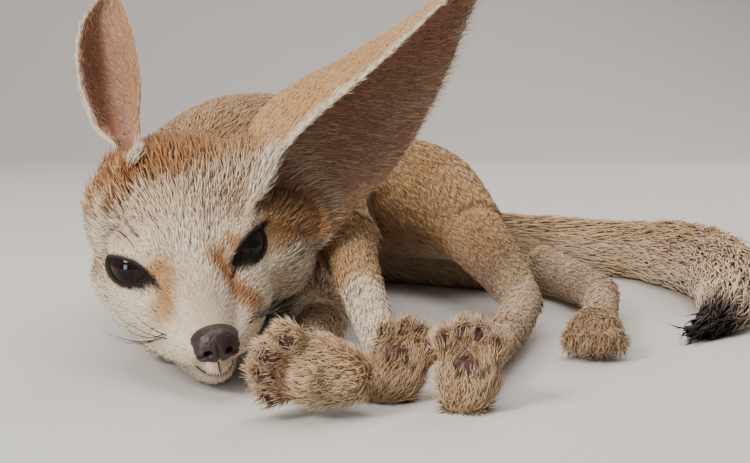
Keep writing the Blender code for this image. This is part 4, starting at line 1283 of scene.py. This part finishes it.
def coatColourGroup():  # the coat's colours from the markings, with painted shade towards the tufts' roots, shared by the skin and its tufts
    tree, given, result = newGroup("coatColour", {"Depth": "Float", "Fleck": "Float"}, {"Color": "Color"})
    place = objectPlace(tree)
    cloud = addTexture(tree, "ShaderNodeTexNoise", place, Scale=furColour["cloudScale"], Detail=3.0)
    half = furColour["cloud"] / 2
    drift = calculate(tree, "MULTIPLY_ADD", cloud.outputs["Fac"], furColour["cloud"], -half)
    sand = calculate(tree, "ADD", readMark(tree, "sand"), drift)
    sand = calculate(tree, "SUBTRACT", sand, furColour["fleck"] / 2)
    sand = calculate(tree, "MULTIPLY_ADD", given["Fleck"], furColour["fleck"], sand)
    clamp = tree.nodes.new("ShaderNodeClamp")
    tree.links.new(sand, clamp.inputs["Value"])
    colour = mixColour(tree, clamp.outputs["Result"], colours["cream"], colours["sand"])
    for key in ("rust", "pink", "leather", "dark"):
        colour = mixColour(tree, readMark(tree, key), colour, colours[key])
    # painted shade: each tuft darker and warmer towards its root, where the coat shades itself
    light = calculate(tree, "MULTIPLY_ADD", given["Depth"], *furColour["light"])
    fleckLight = calculate(tree, "MULTIPLY_ADD", given["Fleck"], *furColour["fleckLight"])
    light = calculate(tree, "MULTIPLY", light, fleckLight)
    shaded = addNode(tree, "ShaderNodeCombineColor")
    for socket, power in zip(shaded.inputs[:3], furColour["power"]):
        tree.links.new(calculate(tree, "POWER", light, power), socket)
    tree.links.new(mixColour(tree, 1.0, colour, shaded.outputs[0], blend="MULTIPLY"), result["Color"])
    return tree


fineGrain = {"cloudScale": 0.4, "bump": (0.6, 0.00025)}  # the clouds' scale as a share of the pebbles'


def fineGrainGroup():  # a cloudy colour and a pebbled surface, for leather and horn
    inputs = {"Scale": "Float", "Dark": "Color", "Light": "Color"}
    tree, given, result = newGroup("fineGrain", inputs, {"Color": "Color", "Normal": "Vector"})
    place = objectPlace(tree)
    pebbles = addTexture(tree, "ShaderNodeTexVoronoi", place)
    cloud = addTexture(tree, "ShaderNodeTexNoise", place, Detail=4.0)
    tree.links.new(given["Scale"], pebbles.inputs["Scale"])
    cloudScale = calculate(tree, "MULTIPLY", given["Scale"], fineGrain["cloudScale"])
    tree.links.new(cloudScale, cloud.inputs["Scale"])
    tree.links.new(mixColour(tree, cloud.outputs["Fac"], given["Dark"], given["Light"]), result["Color"])
    tree.links.new(addBump(tree, pebbles.outputs["Distance"], *fineGrain["bump"]), result["Normal"])
    return tree


def newMaterial(name, roughness, specular=0.5):
    paint = bpy.data.materials.new(name)
    paint.use_nodes = True
    shader = paint.node_tree.nodes["Principled BSDF"]
    shader.inputs["Roughness"].default_value = roughness
    shader.inputs["Specular IOR Level"].default_value = specular
    return paint.node_tree, shader


furFinish = {"roughness": 0.62, "specular": 0.25}
underFinish = {
    "roughness": 0.85,
    "specular": 0.15,
    "depth": 0.25,  # the tufts' colour at this share of their length, with the painted root shade there, and of a tuft this light
    "fleck": 0.4,
    "downScale": 1400.0,
    "bump": (0.5, 0.0004),
}


def makeCoatMaterials():
    group = coatColourGroup()
    tree, shader = newMaterial("fur", furFinish["roughness"], furFinish["specular"])
    use = addNode(tree, "ShaderNodeGroup", node_tree=group)
    for key, mark in (("Depth", "reach"), ("Fleck", "fleck")):
        tree.links.new(readMark(tree, mark), use.inputs[key])
    tree.links.new(use.outputs["Color"], shader.inputs["Base Color"])
    tree, shader = newMaterial("skinUnderCoat", underFinish["roughness"], underFinish["specular"])
    depth, fleck = underFinish["depth"], underFinish["fleck"]
    # painted shade: the skin takes the darkness of the tufts' roots, as the coat over it shades it
    use = addNode(tree, "ShaderNodeGroup", node_tree=group, Depth=depth, Fleck=fleck)
    tree.links.new(use.outputs["Color"], shader.inputs["Base Color"])
    place, scale = objectPlace(tree), underFinish["downScale"]
    down = addTexture(tree, "ShaderNodeTexNoise", place, Scale=scale, Detail=4.0)
    tree.links.new(addBump(tree, down.outputs["Fac"], *underFinish["bump"]), shader.inputs["Normal"])


eyeColours = {  # and the angles from the gaze at which the iris and the white's dark rim start and are full
    "roughness": 0.03,
    "specular": 0.25,
    "streakScale": 900.0,
    "pupil": (0.003, 0.003, 0.003),
    "iris": ((0.006, 0.003, 0.002), (0.024, 0.011, 0.006)),
    "rim": (0.012, 0.008, 0.006),
    "irisFrom": (0.26, 0.32),
    "rimFrom": (0.80, 0.98),
}
grained = {  # dark and light colour, roughness and scale of the grain
    "noseLeather": ((0.015, 0.0075, 0.007), (0.045, 0.021, 0.019), 0.46, 900.0),
    "lidLeather": ((0.005, 0.003, 0.003), (0.012, 0.008, 0.006), 0.8, 1200.0),
    "clawHorn": ((0.30, 0.15, 0.065), (0.55, 0.36, 0.20), 0.32, 260.0),
}


def makeEyeMaterial():
    tree, shader = newMaterial("eyeGloss", eyeColours["roughness"], eyeColours["specular"])
    angle = readMark(tree, "fromGaze")

    def share(limits):
        node = addNode(tree, "ShaderNodeMapRange", **{"From Min": limits[0], "From Max": limits[1]})
        tree.links.new(angle, node.inputs["Value"])
        return node.outputs["Result"]

    place, scale = objectPlace(tree), eyeColours["streakScale"]
    streaks = addTexture(tree, "ShaderNodeTexNoise", place, Scale=scale, Detail=3.0)
    iris = mixColour(tree, streaks.outputs["Fac"], *eyeColours["iris"])
    colour = mixColour(tree, share(eyeColours["irisFrom"]), eyeColours["pupil"], iris)
    colour = mixColour(tree, share(eyeColours["rimFrom"]), colour, eyeColours["rim"])
    tree.links.new(colour, shader.inputs["Base Color"])


whiskerFinish = {"roughness": 0.42, "colour": (0.014, 0.009, 0.007)}


def makeHardMaterials():
    tree, shader = newMaterial("whiskerHair", whiskerFinish["roughness"])
    shader.inputs["Base Color"].default_value = (*whiskerFinish["colour"], 1.0)
    group = fineGrainGroup()
    for name, (dark, light, roughness, scale) in grained.items():
        tree, shader = newMaterial(name, roughness)
        shades = {"Dark": (*dark, 1.0), "Light": (*light, 1.0)}
        use = addNode(tree, "ShaderNodeGroup", node_tree=group, Scale=scale, **shades)
        tree.links.new(use.outputs["Color"], shader.inputs["Base Color"])
        tree.links.new(use.outputs["Normal"], shader.inputs["Normal"])


makeCoatMaterials()
makeEyeMaterial()
makeHardMaterials()
print("stage: materials")

# A tuft: three sides, a closed root and one tip. Each ring lies at a share of the length, with its size.
tuft = {
    "rings": {2: ((0.0, 0.75), (0.45, 1.0)), 3: ((0.0, 0.7), (0.3, 1.0), (0.68, 0.62))},
    "corners": ((-1.0, -0.3), (1.0, -0.3), (0.0, 0.7)),  # across and up, in half widths
    "thickness": 0.5,
    "sunk": 0.35,
    "sunkShare": 0.12,
    "settle": ((3.0, 10.0), (0.45, 0.70)),  # lengths, and how far the tip comes back to the skin
    "patchAcross": 0.4,
}


def tuftPoints(roots, normals, ways, length, width, lift, rings, curl):
    lift = np.radians(lift)[:, None]
    settle = np.interp(length, *tuft["settle"])[:, None]
    roots = roots - normals * np.minimum(tuft["sunk"], tuft["sunkShare"] * length)[:, None]
    flat = tangential(ways, normals)
    start = flat * np.cos(lift) + normals * np.sin(lift)
    sideways = np.cross(normals, flat) * (dice.normal(0.0, 1.0, len(roots)) * curl)[:, None]
    bend = -normals * np.sin(lift) * settle + sideways
    side = unit(np.cross(normals, start))
    upward = np.cross(start, side)
    points = []
    for share, size in tuft["rings"][rings]:
        middle = roots + (start * share + bend * share**2) * length[:, None]
        half = (width * size * 0.5)[:, None]
        for across, up in tuft["corners"]:
            points.append(middle + side * half * across + upward * half * up * 2 * tuft["thickness"])
    points.append(roots + (start + bend) * length[:, None])
    points = np.stack(points, 1)
    points[..., 2] = np.maximum(points[..., 2], floorGap)
    return points


def tuftFaces(rings):  # the root's end, the sides between the rings, and the tip
    faces = [(2, 1, 0)]
    for low in range(0, 3 * rings - 3, 3):
        faces += [(low + i, low + (i + 1) % 3, low + 3 + (i + 1) % 3, low + 3 + i) for i in range(3)]
    last = 3 * rings - 3
    return faces + [(last + i, last + (i + 1) % 3, 3 * rings) for i in range(3)]


def tuftTriangles(rings):
    return 4 + 6 * (rings - 1)


def growTufts(name, roots, normals, ways, length, width, lift, marks, uv, rings=3, curl=0.0):
    points = tuftPoints(roots, normals, ways, length, width, lift, rings, curl)
    count, corners = points.shape[:2]
    faces = tuftFaces(rings)
    loops = np.concatenate([np.array(face) for face in faces])
    starts = np.cumsum([0] + [len(face) for face in faces[:-1]])
    each = np.arange(count)[:, None]
    allLoops, allStarts = loops[None] + each * corners, starts[None] + each * len(loops)
    piece = newPiece(name, points.reshape(-1, 3), allLoops.ravel(), allStarts.ravel())
    reach = np.append(np.repeat([share for share, size in tuft["rings"][rings]], 3), 1.0)
    setAttribute(piece.data, "reach", np.tile(reach, count))
    setAttribute(piece.data, "fleck", np.repeat(dice.uniform(0.0, 1.0, count), corners))
    for key in markings:
        setAttribute(piece.data, key, np.repeat(marks[key], corners))
    across = (np.arange(corners) % 3 - 1) * tuft["patchAcross"]
    patch = np.column_stack([across, reach - 0.5]) * unwrap["patch"]
    loopUv = np.clip(uv[:, None] + patch[loops][None], 0.0, 1.0)
    layer = piece.data.uv_layers.new(name="OFBake")
    layer.data.foreach_set("uv", loopUv.astype(np.float32).ravel())
    dressPiece(piece, "fur", "coat")
    triangles = count * tuftTriangles(rings)
    print(f"  {name}: {count} tufts, {triangles} triangles")
    return triangles


# The coat, in pieces of under 200,000 triangles each
pieceTriangles = 190000
coatRegions = {
    "coatHead": ("head",),
    "coatEarLeft": ("ear_left",),
    "coatEarRight": ("ear_right",),
    "coatForequarters": ("neck", "torso_front", "foreleg_left_upper"),
    "coatHindquarters": ("torso_rear", "hindleg_left_thigh"),
    "coatForelegs": ("foreleg_left_lower", "foreleg_right", "forepaw_left", "forepaw_right"),
    "coatHindlegs": (
        "hindleg_left_shank",
        "hindleg_right",
        "hindfoot_left",
        "hindfoot_right",
        "hindpaw_left",
        "hindpaw_right",
    ),
    "coatTail": ("tail_base", "tail_brush"),
}
tuftChance = {  # how tufts differ from the coat's own values
    "length": (0.7, 1.15),
    "width": (0.75, 1.2),
    "lift": (0.5, 1.5),
    "pale": (0.45, 0.25),  # share of the tufts inside the ears that are pale, and how pink those stay
    "sand": 0.09,
    "rust": (0.45, 1.2),
    "grizzled": (0.3, 0.7),
    "curl": 0.06,
    "quick": 0.35,
    "longFrom": 14.0,  # mean length from which tufts have three rings
}


def growRegion(name, members):
    share = 1.0
    chosen, weights = spread(np.where(nodeIs(skinOwner, *members), field["density"], 0.0) * share)
    rings = 2 if readAt(field["length"], chosen, weights).mean() < tuftChance["longFrom"] else 3
    parts = 1 + len(chosen) * tuftTriangles(rings) // pieceTriangles
    order = np.arange(len(chosen))
    if parts > 1:
        order = np.argsort(toHead(readAt(skinPoints, chosen, weights))[:, 1], kind="stable")
    total = 0
    for number, mine in enumerate(np.array_split(order, parts)):
        count = len(mine)

        def here(values):
            return readAt(values, chosen[mine], weights[mine])

        def varied(key):
            return here(field[key]) * dice.uniform(*tuftChance[key], count)

        normals = unit(here(skinNormals))
        ways = here(skinWays) + here(field["stray"])[:, None] * dice.normal(0.0, 1.0, (count, 3))
        marks = {key: np.clip(here(field[key]), 0.0, 1.0) for key in markings}
        paleShare, pinkLeft = tuftChance["pale"]
        marks["pink"] *= np.where(dice.uniform(0.0, 1.0, count) < paleShare, pinkLeft, 1.0)
        sandier = tuftChance["sand"] * dice.normal(0.0, 1.0, count)
        marks["sand"] = np.clip(marks["sand"] + sandier, 0.0, 1.0)
        marks["rust"] *= dice.uniform(*tuftChance["rust"], count)
        grizzled = dice.uniform(0.0, 1.0, count) < here(field["grizzle"])
        darker = np.maximum(marks["dark"], dice.uniform(*tuftChance["grizzled"], count))
        marks["dark"] = np.where(grizzled, darker, marks["dark"])
        length, width, lift = (varied(key) for key in ("length", "width", "lift"))
        uv = (triangleUv[chosen[mine]] * weights[mine][..., None]).sum(1)
        letter = "" if parts == 1 else "ABCDEFGH"[number]
        roots, curl = here(skinPoints), tuftChance["curl"]
        total += growTufts(name + letter, roots, normals, ways, length, width, lift, marks, uv, rings, curl)
    return total


# Long pale hairs inside the ears, from the hollow out over the rear edge
earHair = {
    "coatEarHairLeft": {
        "ear": "ear_left",
        "across": (0.36, 0.97),
        "tip": (0.04, 0.90),
        "length": 13.5,
        "density": 0.85,
    },
    "coatEarHairRight": {
        "ear": "ear_right",
        "across": (0.05, 0.75),
        "tip": (0.70, 0.97),
        "length": 8.0,
        "density": 0.8,
    },
}
hairChance = {
    "length": (0.6, 1.15),
    "width": (0.18, 0.30),
    "lift": (4.0, 12.0),
    "sand": (0.0, 0.7),
    "pink": (0.0, 0.25),
    "stray": 0.12,
    "curl": 0.1,
    "overEdge": (1.3, 3.5),  # hairs end this share of the way to the rear edge, and some mm beyond
    "quick": 0.5,
}


def growEarHair(name, settings):
    density = nodeIs(skinOwner, settings["ear"]) * (ear["side"] > 0) * settings["density"]
    for key in ("across", "tip"):
        low, high = settings[key]
        density = density * stepBetween(low, low + 0.1, ear[key])
        density = density * stepBetween(high + 0.02, high - 0.02, ear[key])
    chosen, weights = spread(density * (1.0))
    count = len(chosen)

    def here(values):
        return readAt(values, chosen, weights)

    share, beyond = hairChance["overEdge"]
    room = (1.0 - here(ear["across"])) * here(ear["width"]) * share + beyond
    marks = {key: np.zeros(count) for key in markings}
    for key in ("sand", "pink"):
        marks[key] = dice.uniform(*hairChance[key], count)
    normals = unit(here(skinNormals))
    ways = here(skinWays) + hairChance["stray"] * dice.normal(0.0, 1.0, (count, 3))
    length = np.minimum(settings["length"] * dice.uniform(*hairChance["length"], count), room)
    width = dice.uniform(*hairChance["width"], count)
    lift = dice.uniform(*hairChance["lift"], count)
    uv = (triangleUv[chosen] * weights[..., None]).sum(1)
    roots, curl = here(skinPoints), hairChance["curl"]
    return growTufts(name, roots, normals, ways, length, width, lift, marks, uv, curl=curl)


coatTotal = sum(growRegion(name, members) for name, members in coatRegions.items())
coatTotal += sum(growEarHair(name, settings) for name, settings in earHair.items())
print("stage: coat,", coatTotal, "triangles")

# Eyes: an eyeball with a bulging cornea, and dark lid rims round the opening
eyes = {
    "inset": 0.15,
    "cornea": 0.55,
    "corneaAngle": 52.0,
    "rings": 40,
    "segments": 64,
    "rimRadius": 0.38,
    "rimWider": 0.25,
    "rimOut": 0.5,
    "rimSteps": 30,
    "rimSides": 10,
}


def ringFaces(rings, sides):  # triangles over rings of points, and out to one point past each end
    index = np.arange(rings * sides).reshape(rings, sides)
    after = np.roll(index, -1, axis=1)
    quads = np.stack([index[:-1], after[:-1], after[1:], index[1:]], -1).reshape(-1, 4)
    first, last = rings * sides, rings * sides + 1
    return np.vstack([
        quads[:, [0, 1, 2]],
        quads[:, [0, 2, 3]],
        np.stack([np.full(sides, first), after[0], index[0]], -1),
        np.stack([np.full(sides, last), index[-1], after[-1]], -1),
    ])


def around(sides):
    return np.linspace(0.0, 2 * math.pi, sides + 1)[:-1]


def tube(path, radii, sides=8):  # a closed tapering tube along a path
    path, radii = np.asarray(path, float), np.asarray(radii, float)
    ways = unit(np.gradient(path, axis=0))
    side = unit(np.cross(ways, (0.13, 0.21, 0.97)))  # from a direction that no path runs along
    for number in range(1, len(side)):
        side[number] = unit(side[number - 1] - ways[number] * (side[number - 1] * ways[number]).sum())
    other = np.cross(ways, side)
    turns = around(sides)
    ring = side[:, None] * np.cos(turns)[None, :, None] + other[:, None] * np.sin(turns)[None, :, None]
    points = (path[:, None] + ring * radii[:, None, None]).reshape(-1, 3)
    return np.vstack([points, path[:1], path[-1:]]), ringFaces(len(path), sides)


def eyeball(middle, axes):  # its points and faces, and each point's angle from the gaze
    angles = np.linspace(0.0, math.pi, eyes["rings"])
    turns = around(eyes["segments"])
    bulge = eyes["cornea"] * stepBetween(math.radians(eyes["corneaAngle"]), 0.0, angles)
    radius = headPose["eyeRadius"] - eyes["inset"] + bulge
    x = np.repeat((radius * np.cos(angles))[:, None], len(turns), 1)
    y = (radius * np.sin(angles))[:, None] * np.cos(turns)[None]
    z = (radius * np.sin(angles))[:, None] * np.sin(turns)[None]
    points = np.stack([x, y, z], -1)[1:-1].reshape(-1, 3)
    points = np.vstack([points, [[radius[0], 0, 0]], [[-radius[-1], 0, 0]]])
    fromGaze = np.r_[np.repeat(angles[1:-1], len(turns)), 0.0, math.pi]
    return points @ axes + middle, ringFaces(len(angles) - 2, len(turns))[:, ::-1], fromGaze


def buildEyes():
    for side, node in ((1, "eye_left"), (-1, "eye_right")):
        middle, axes = eyePlace(side)
        word = node[4:].title()
        points, faces, fromGaze = eyeball(middle, axes)
        piece = trianglePiece("eyeball" + word, points, faces)
        setAttribute(piece.data, "fromGaze", fromGaze)
        dressPiece(piece, "eyeGloss", "eye", node)
        y, z, share = almondOutline(eyes["rimSteps"], side)
        over = headPose["eyeRadius"] + eyes["rimOut"]
        x = np.sqrt(np.maximum(over**2 - y**2 - z**2, 1.0))
        path = np.column_stack([x, y, z]) @ axes + middle
        radii = eyes["rimRadius"] * (1.0 + eyes["rimWider"] * np.abs(share) ** 6)
        piece = trianglePiece("lidRim" + word, *tube(path, radii, eyes["rimSides"]))
        dressPiece(piece, "lidLeather", "leather")


buildEyes()
print("stage: eyes")

# Whiskers on the lips, and long dark hairs over the eyes, in the head's own millimetres
whiskers = {
    "left": {"root": (19.3, 13.6, -13.2), "tip": (17.0, 34.5, -3.0), "count": 9},
    "right": {"root": (20.2, -12.6, -12.9), "tip": (14.5, -25.5, -8.0), "count": 6},
    "rootFan": (3.0, -1.6, 1.3),
    "tipFan": (2.0, -3.0, 5.6),
    "rootJitter": 0.7,
    "tipJitter": 1.4,
    "bulge": (2.6, 0.0, -1.2),
    "bulgeChance": (0.6, 1.5),
    "sunk": 0.6,
    "radius": 0.17,
    "taper": 0.88,
}
browHairs = {
    "place": (0.5, 14.5, 7.6),
    "spread": (2.6, 4.2, 0.8),
    "left": 8,
    "right": 6,
    "length": (11.0, 19.0),
    "rise": 11.0,
    "fall": 0.45,
    "sunk": 0.4,
    "radius": 0.12,
    "taper": 0.85,
}
hairSides = 5
hairSteps = np.linspace(0.0, 1.0, 11)
skinTree = KDTree(len(skinPoints))
for number, point in enumerate(skinPoints):
    skinTree.insert(point, number)
skinTree.balance()


def overCoat(start, length):  # a line that starts along the coat and lifts off it
    place = np.array(start)
    way = skinWays[skinTree.find(place)[1]]
    path = []
    for share in hairSteps:
        near = skinTree.find(place)[1]
        normal = skinNormals[near]
        place = place - normal * ((place - skinPoints[near]) @ normal)
        height = browHairs["rise"] * share * (1.0 - browHairs["fall"] * share) - browHairs["sunk"]
        path.append(place + normal * height)
        place = place + (way - normal * (way @ normal)) * length / (len(hairSteps) - 1)
    return np.array(path)


def hair(path, settings):
    return tube(path, settings["radius"] * (1.0 - settings["taper"] * hairSteps), hairSides)


def whisker(settings, fan, turned):
    rootAway, tipAway = (fan * np.array(whiskers[key]) * turned for key in ("rootFan", "tipFan"))
    root = fromHead(settings["root"] + rootAway + whiskers["rootJitter"] * dice.normal(0.0, 1.0, 3))
    near = skinTree.find(root)[1]
    root = skinPoints[near] - skinNormals[near] * whiskers["sunk"]
    tip = fromHead(settings["tip"] + tipAway + whiskers["tipJitter"] * dice.normal(0.0, 1.0, 3))
    bulge = np.array(whiskers["bulge"]) @ headAxes * dice.uniform(*whiskers["bulgeChance"])
    t = hairSteps[:, None]
    return hair(root + (tip - root) * t + bulge * 4.0 * t * (1.0 - t), whiskers)


def buildLongHairs():
    mirrored = {"left": (1.0, 1.0, 1.0), "right": (1.0, -1.0, 1.0)}
    shapes = []
    for side, turned in mirrored.items():
        for fan in np.linspace(-1.0, 1.0, whiskers[side]["count"]):
            shapes.append(whisker(whiskers[side], fan, turned))
    dressPiece(trianglePiece("whiskers", *joined(shapes)), "whiskerHair", "coat")
    shapes = []
    for side, turned in mirrored.items():
        for number in range(browHairs[side]):
            root = np.array(browHairs["place"]) + dice.normal(0.0, 1.0, 3) * browHairs["spread"]
            path = overCoat(fromHead(root * turned), dice.uniform(*browHairs["length"]))
            shapes.append(hair(path, browHairs))
    dressPiece(trianglePiece("browHairs", *joined(shapes)), "whiskerHair", "coat")


buildLongHairs()
print("stage: whiskers")

# Dark edge of the lips, and the groove from them up to the nose
lipLine = {
    "from": 18.0,
    "turn": 64.0,
    "steps": 37,
    "rounds": 4,
    "radius": 0.24,
    "taper": 0.8,
    "out": 0.30,
    "grooveTop": -18.9,
    "grooveSteps": 8,
    "grooveEnd": 0.5,
}


def buildLips():
    tree = BVHTree.FromPolygons(skinPoints.tolist(), skinTriangles.tolist())

    def onSkin(angle, height):  # the skin's surface, seen from the middle of the muzzle
        way = np.array((math.cos(angle), math.sin(angle), 0.0)) @ headAxes
        hit = tree.ray_cast(Vector(fromHead((lipLine["from"], 0.0, height))), Vector(way))[0]
        return np.array(hit) + way * lipLine["out"]

    path = []
    for angle in np.radians(np.linspace(-lipLine["turn"], lipLine["turn"], lipLine["steps"])):
        place = onSkin(angle, mouth["height"])
        path.append(onSkin(angle, mouthHeight(toHead(place)[0])))
    path = np.array(path)
    for number in range(lipLine["rounds"]):
        path[1:-1] = 0.5 * path[1:-1] + 0.25 * (path[:-2] + path[2:])
    share = np.abs(np.linspace(-1.0, 1.0, len(path)))
    lips = tube(path, lipLine["radius"] * (1.0 - lipLine["taper"] * share**2))
    heights = np.linspace(lipLine["grooveTop"], mouth["height"], lipLine["grooveSteps"])
    radii = lipLine["radius"] * np.linspace(1.0, lipLine["grooveEnd"], len(heights))
    groove = tube([onSkin(0.0, height) for height in heights], radii)
    dressPiece(trianglePiece("lipEdge", *joined([lips, groove])), "noseLeather", "leather")


buildLips()

# Nose leather: its masses, whether the other side has the same, and its hollows, all from its place
nose = {
    "place": (33.6, 0.0, -13.0),
    "masses": (
        ((0.0, 0.0, 0.0), (4.6, 6.3, 5.0), False),
        ((-1.6, 0.0, 1.2), (4.2, 6.6, 3.6), False),
        ((0.6, 3.6, -1.0), (3.4, 2.7, 3.0), True),
    ),
    "voxel": 0.28,
    "easing": 12,
    "hollows": (
        {"place": (2.9, -0.9), "half": (1.45, 1.15), "soft": (1.0, 0.35), "depth": 2.2},
        {"place": (5.1, -1.8), "half": (2.2, 0.7), "soft": (1.0, 0.4), "depth": 1.3},
    ),
    "groove": {"aside": (0.75, 0.1), "up": (2.0, -0.5), "depth": 0.7},
}


def noseDepth(local):  # how deep the nostrils, their slits and the groove between them lie
    ahead, left, up = (local - nose["place"]).T
    groove = nose["groove"]
    depth = stepBetween(*groove["aside"], np.abs(left)) * stepBetween(*groove["up"], up) * groove["depth"]
    facing = stepBetween(-1.0, 1.0, ahead)
    for side in (-1, 1):
        for hollow in nose["hollows"]:
            (aside, high), (halfWide, halfHigh) = hollow["place"], hollow["half"]
            away = np.hypot((left - side * aside) / halfWide, (up - high) / halfHigh)
            depth = np.maximum(depth, hollow["depth"] * stepBetween(*hollow["soft"], away) * facing)
    return depth


def buildNose():
    shapes = []
    for offset, radii, paired in nose["masses"]:
        for side in (-1, 1) if paired else (1,):
            place = np.array(nose["place"]) + np.array(offset) * (1, side, 1)
            addBall(shapes, fromHead(place), radii, headAxes)
    piece = trianglePiece("noseLeather", *joined(shapes))
    melt(piece, nose["voxel"])
    points = eased(pointsOf(piece.data), edgesOf(piece.data), nose["easing"])
    setPoints(piece.data, points)
    setPoints(piece.data, points - normalsOf(piece.data) * noseDepth(toHead(points))[:, None])
    dressPiece(piece, "noseLeather", "leather", "nose")


buildNose()

# Claws, one at the end of each toe
claws = {
    "length": 7.0,
    "radius": 1.15,
    "bend": 58.0,
    "stretch": 1.1,
    "drop": 0.9,
    "sunk": 3.4,
    "raised": 0.6,
    "splay": 0.05,
    "thinner": 0.93,
    "thinnerPower": 1.4,
    "steps": 12,
    "sides": 10,
}


def buildClaws():
    bend = math.radians(claws["bend"])
    t = np.linspace(0.0, 1.0, claws["steps"])
    forward = claws["length"] * np.sin(bend * t) / bend * claws["stretch"]
    soleward = claws["length"] * (1 - np.cos(bend * t)) * claws["drop"] - claws["raised"]
    for name in paws:
        place, axes = pawFrame(name)
        radii = claws["radius"] * paws[name][3] * (1.0 - claws["thinner"] * t ** claws["thinnerPower"])
        for number, (side, reach) in enumerate(toeRows(), start=1):
            ahead = reach + toes["radius"] - claws["sunk"] + forward
            path = np.column_stack([ahead, side * (1.0 + claws["splay"] * t), soleward]) @ axes + place
            words = name.title().replace("_", "")
            piece = trianglePiece(f"claw{words}{number}", *tube(path, radii, claws["sides"]))
            dressPiece(piece, "clawHorn", "horn", f"claw_{name}_{number}")


buildClaws()
print("stage: nose and claws")

dressPiece(skin, "skinUnderCoat", "coat", *fleshNodes)
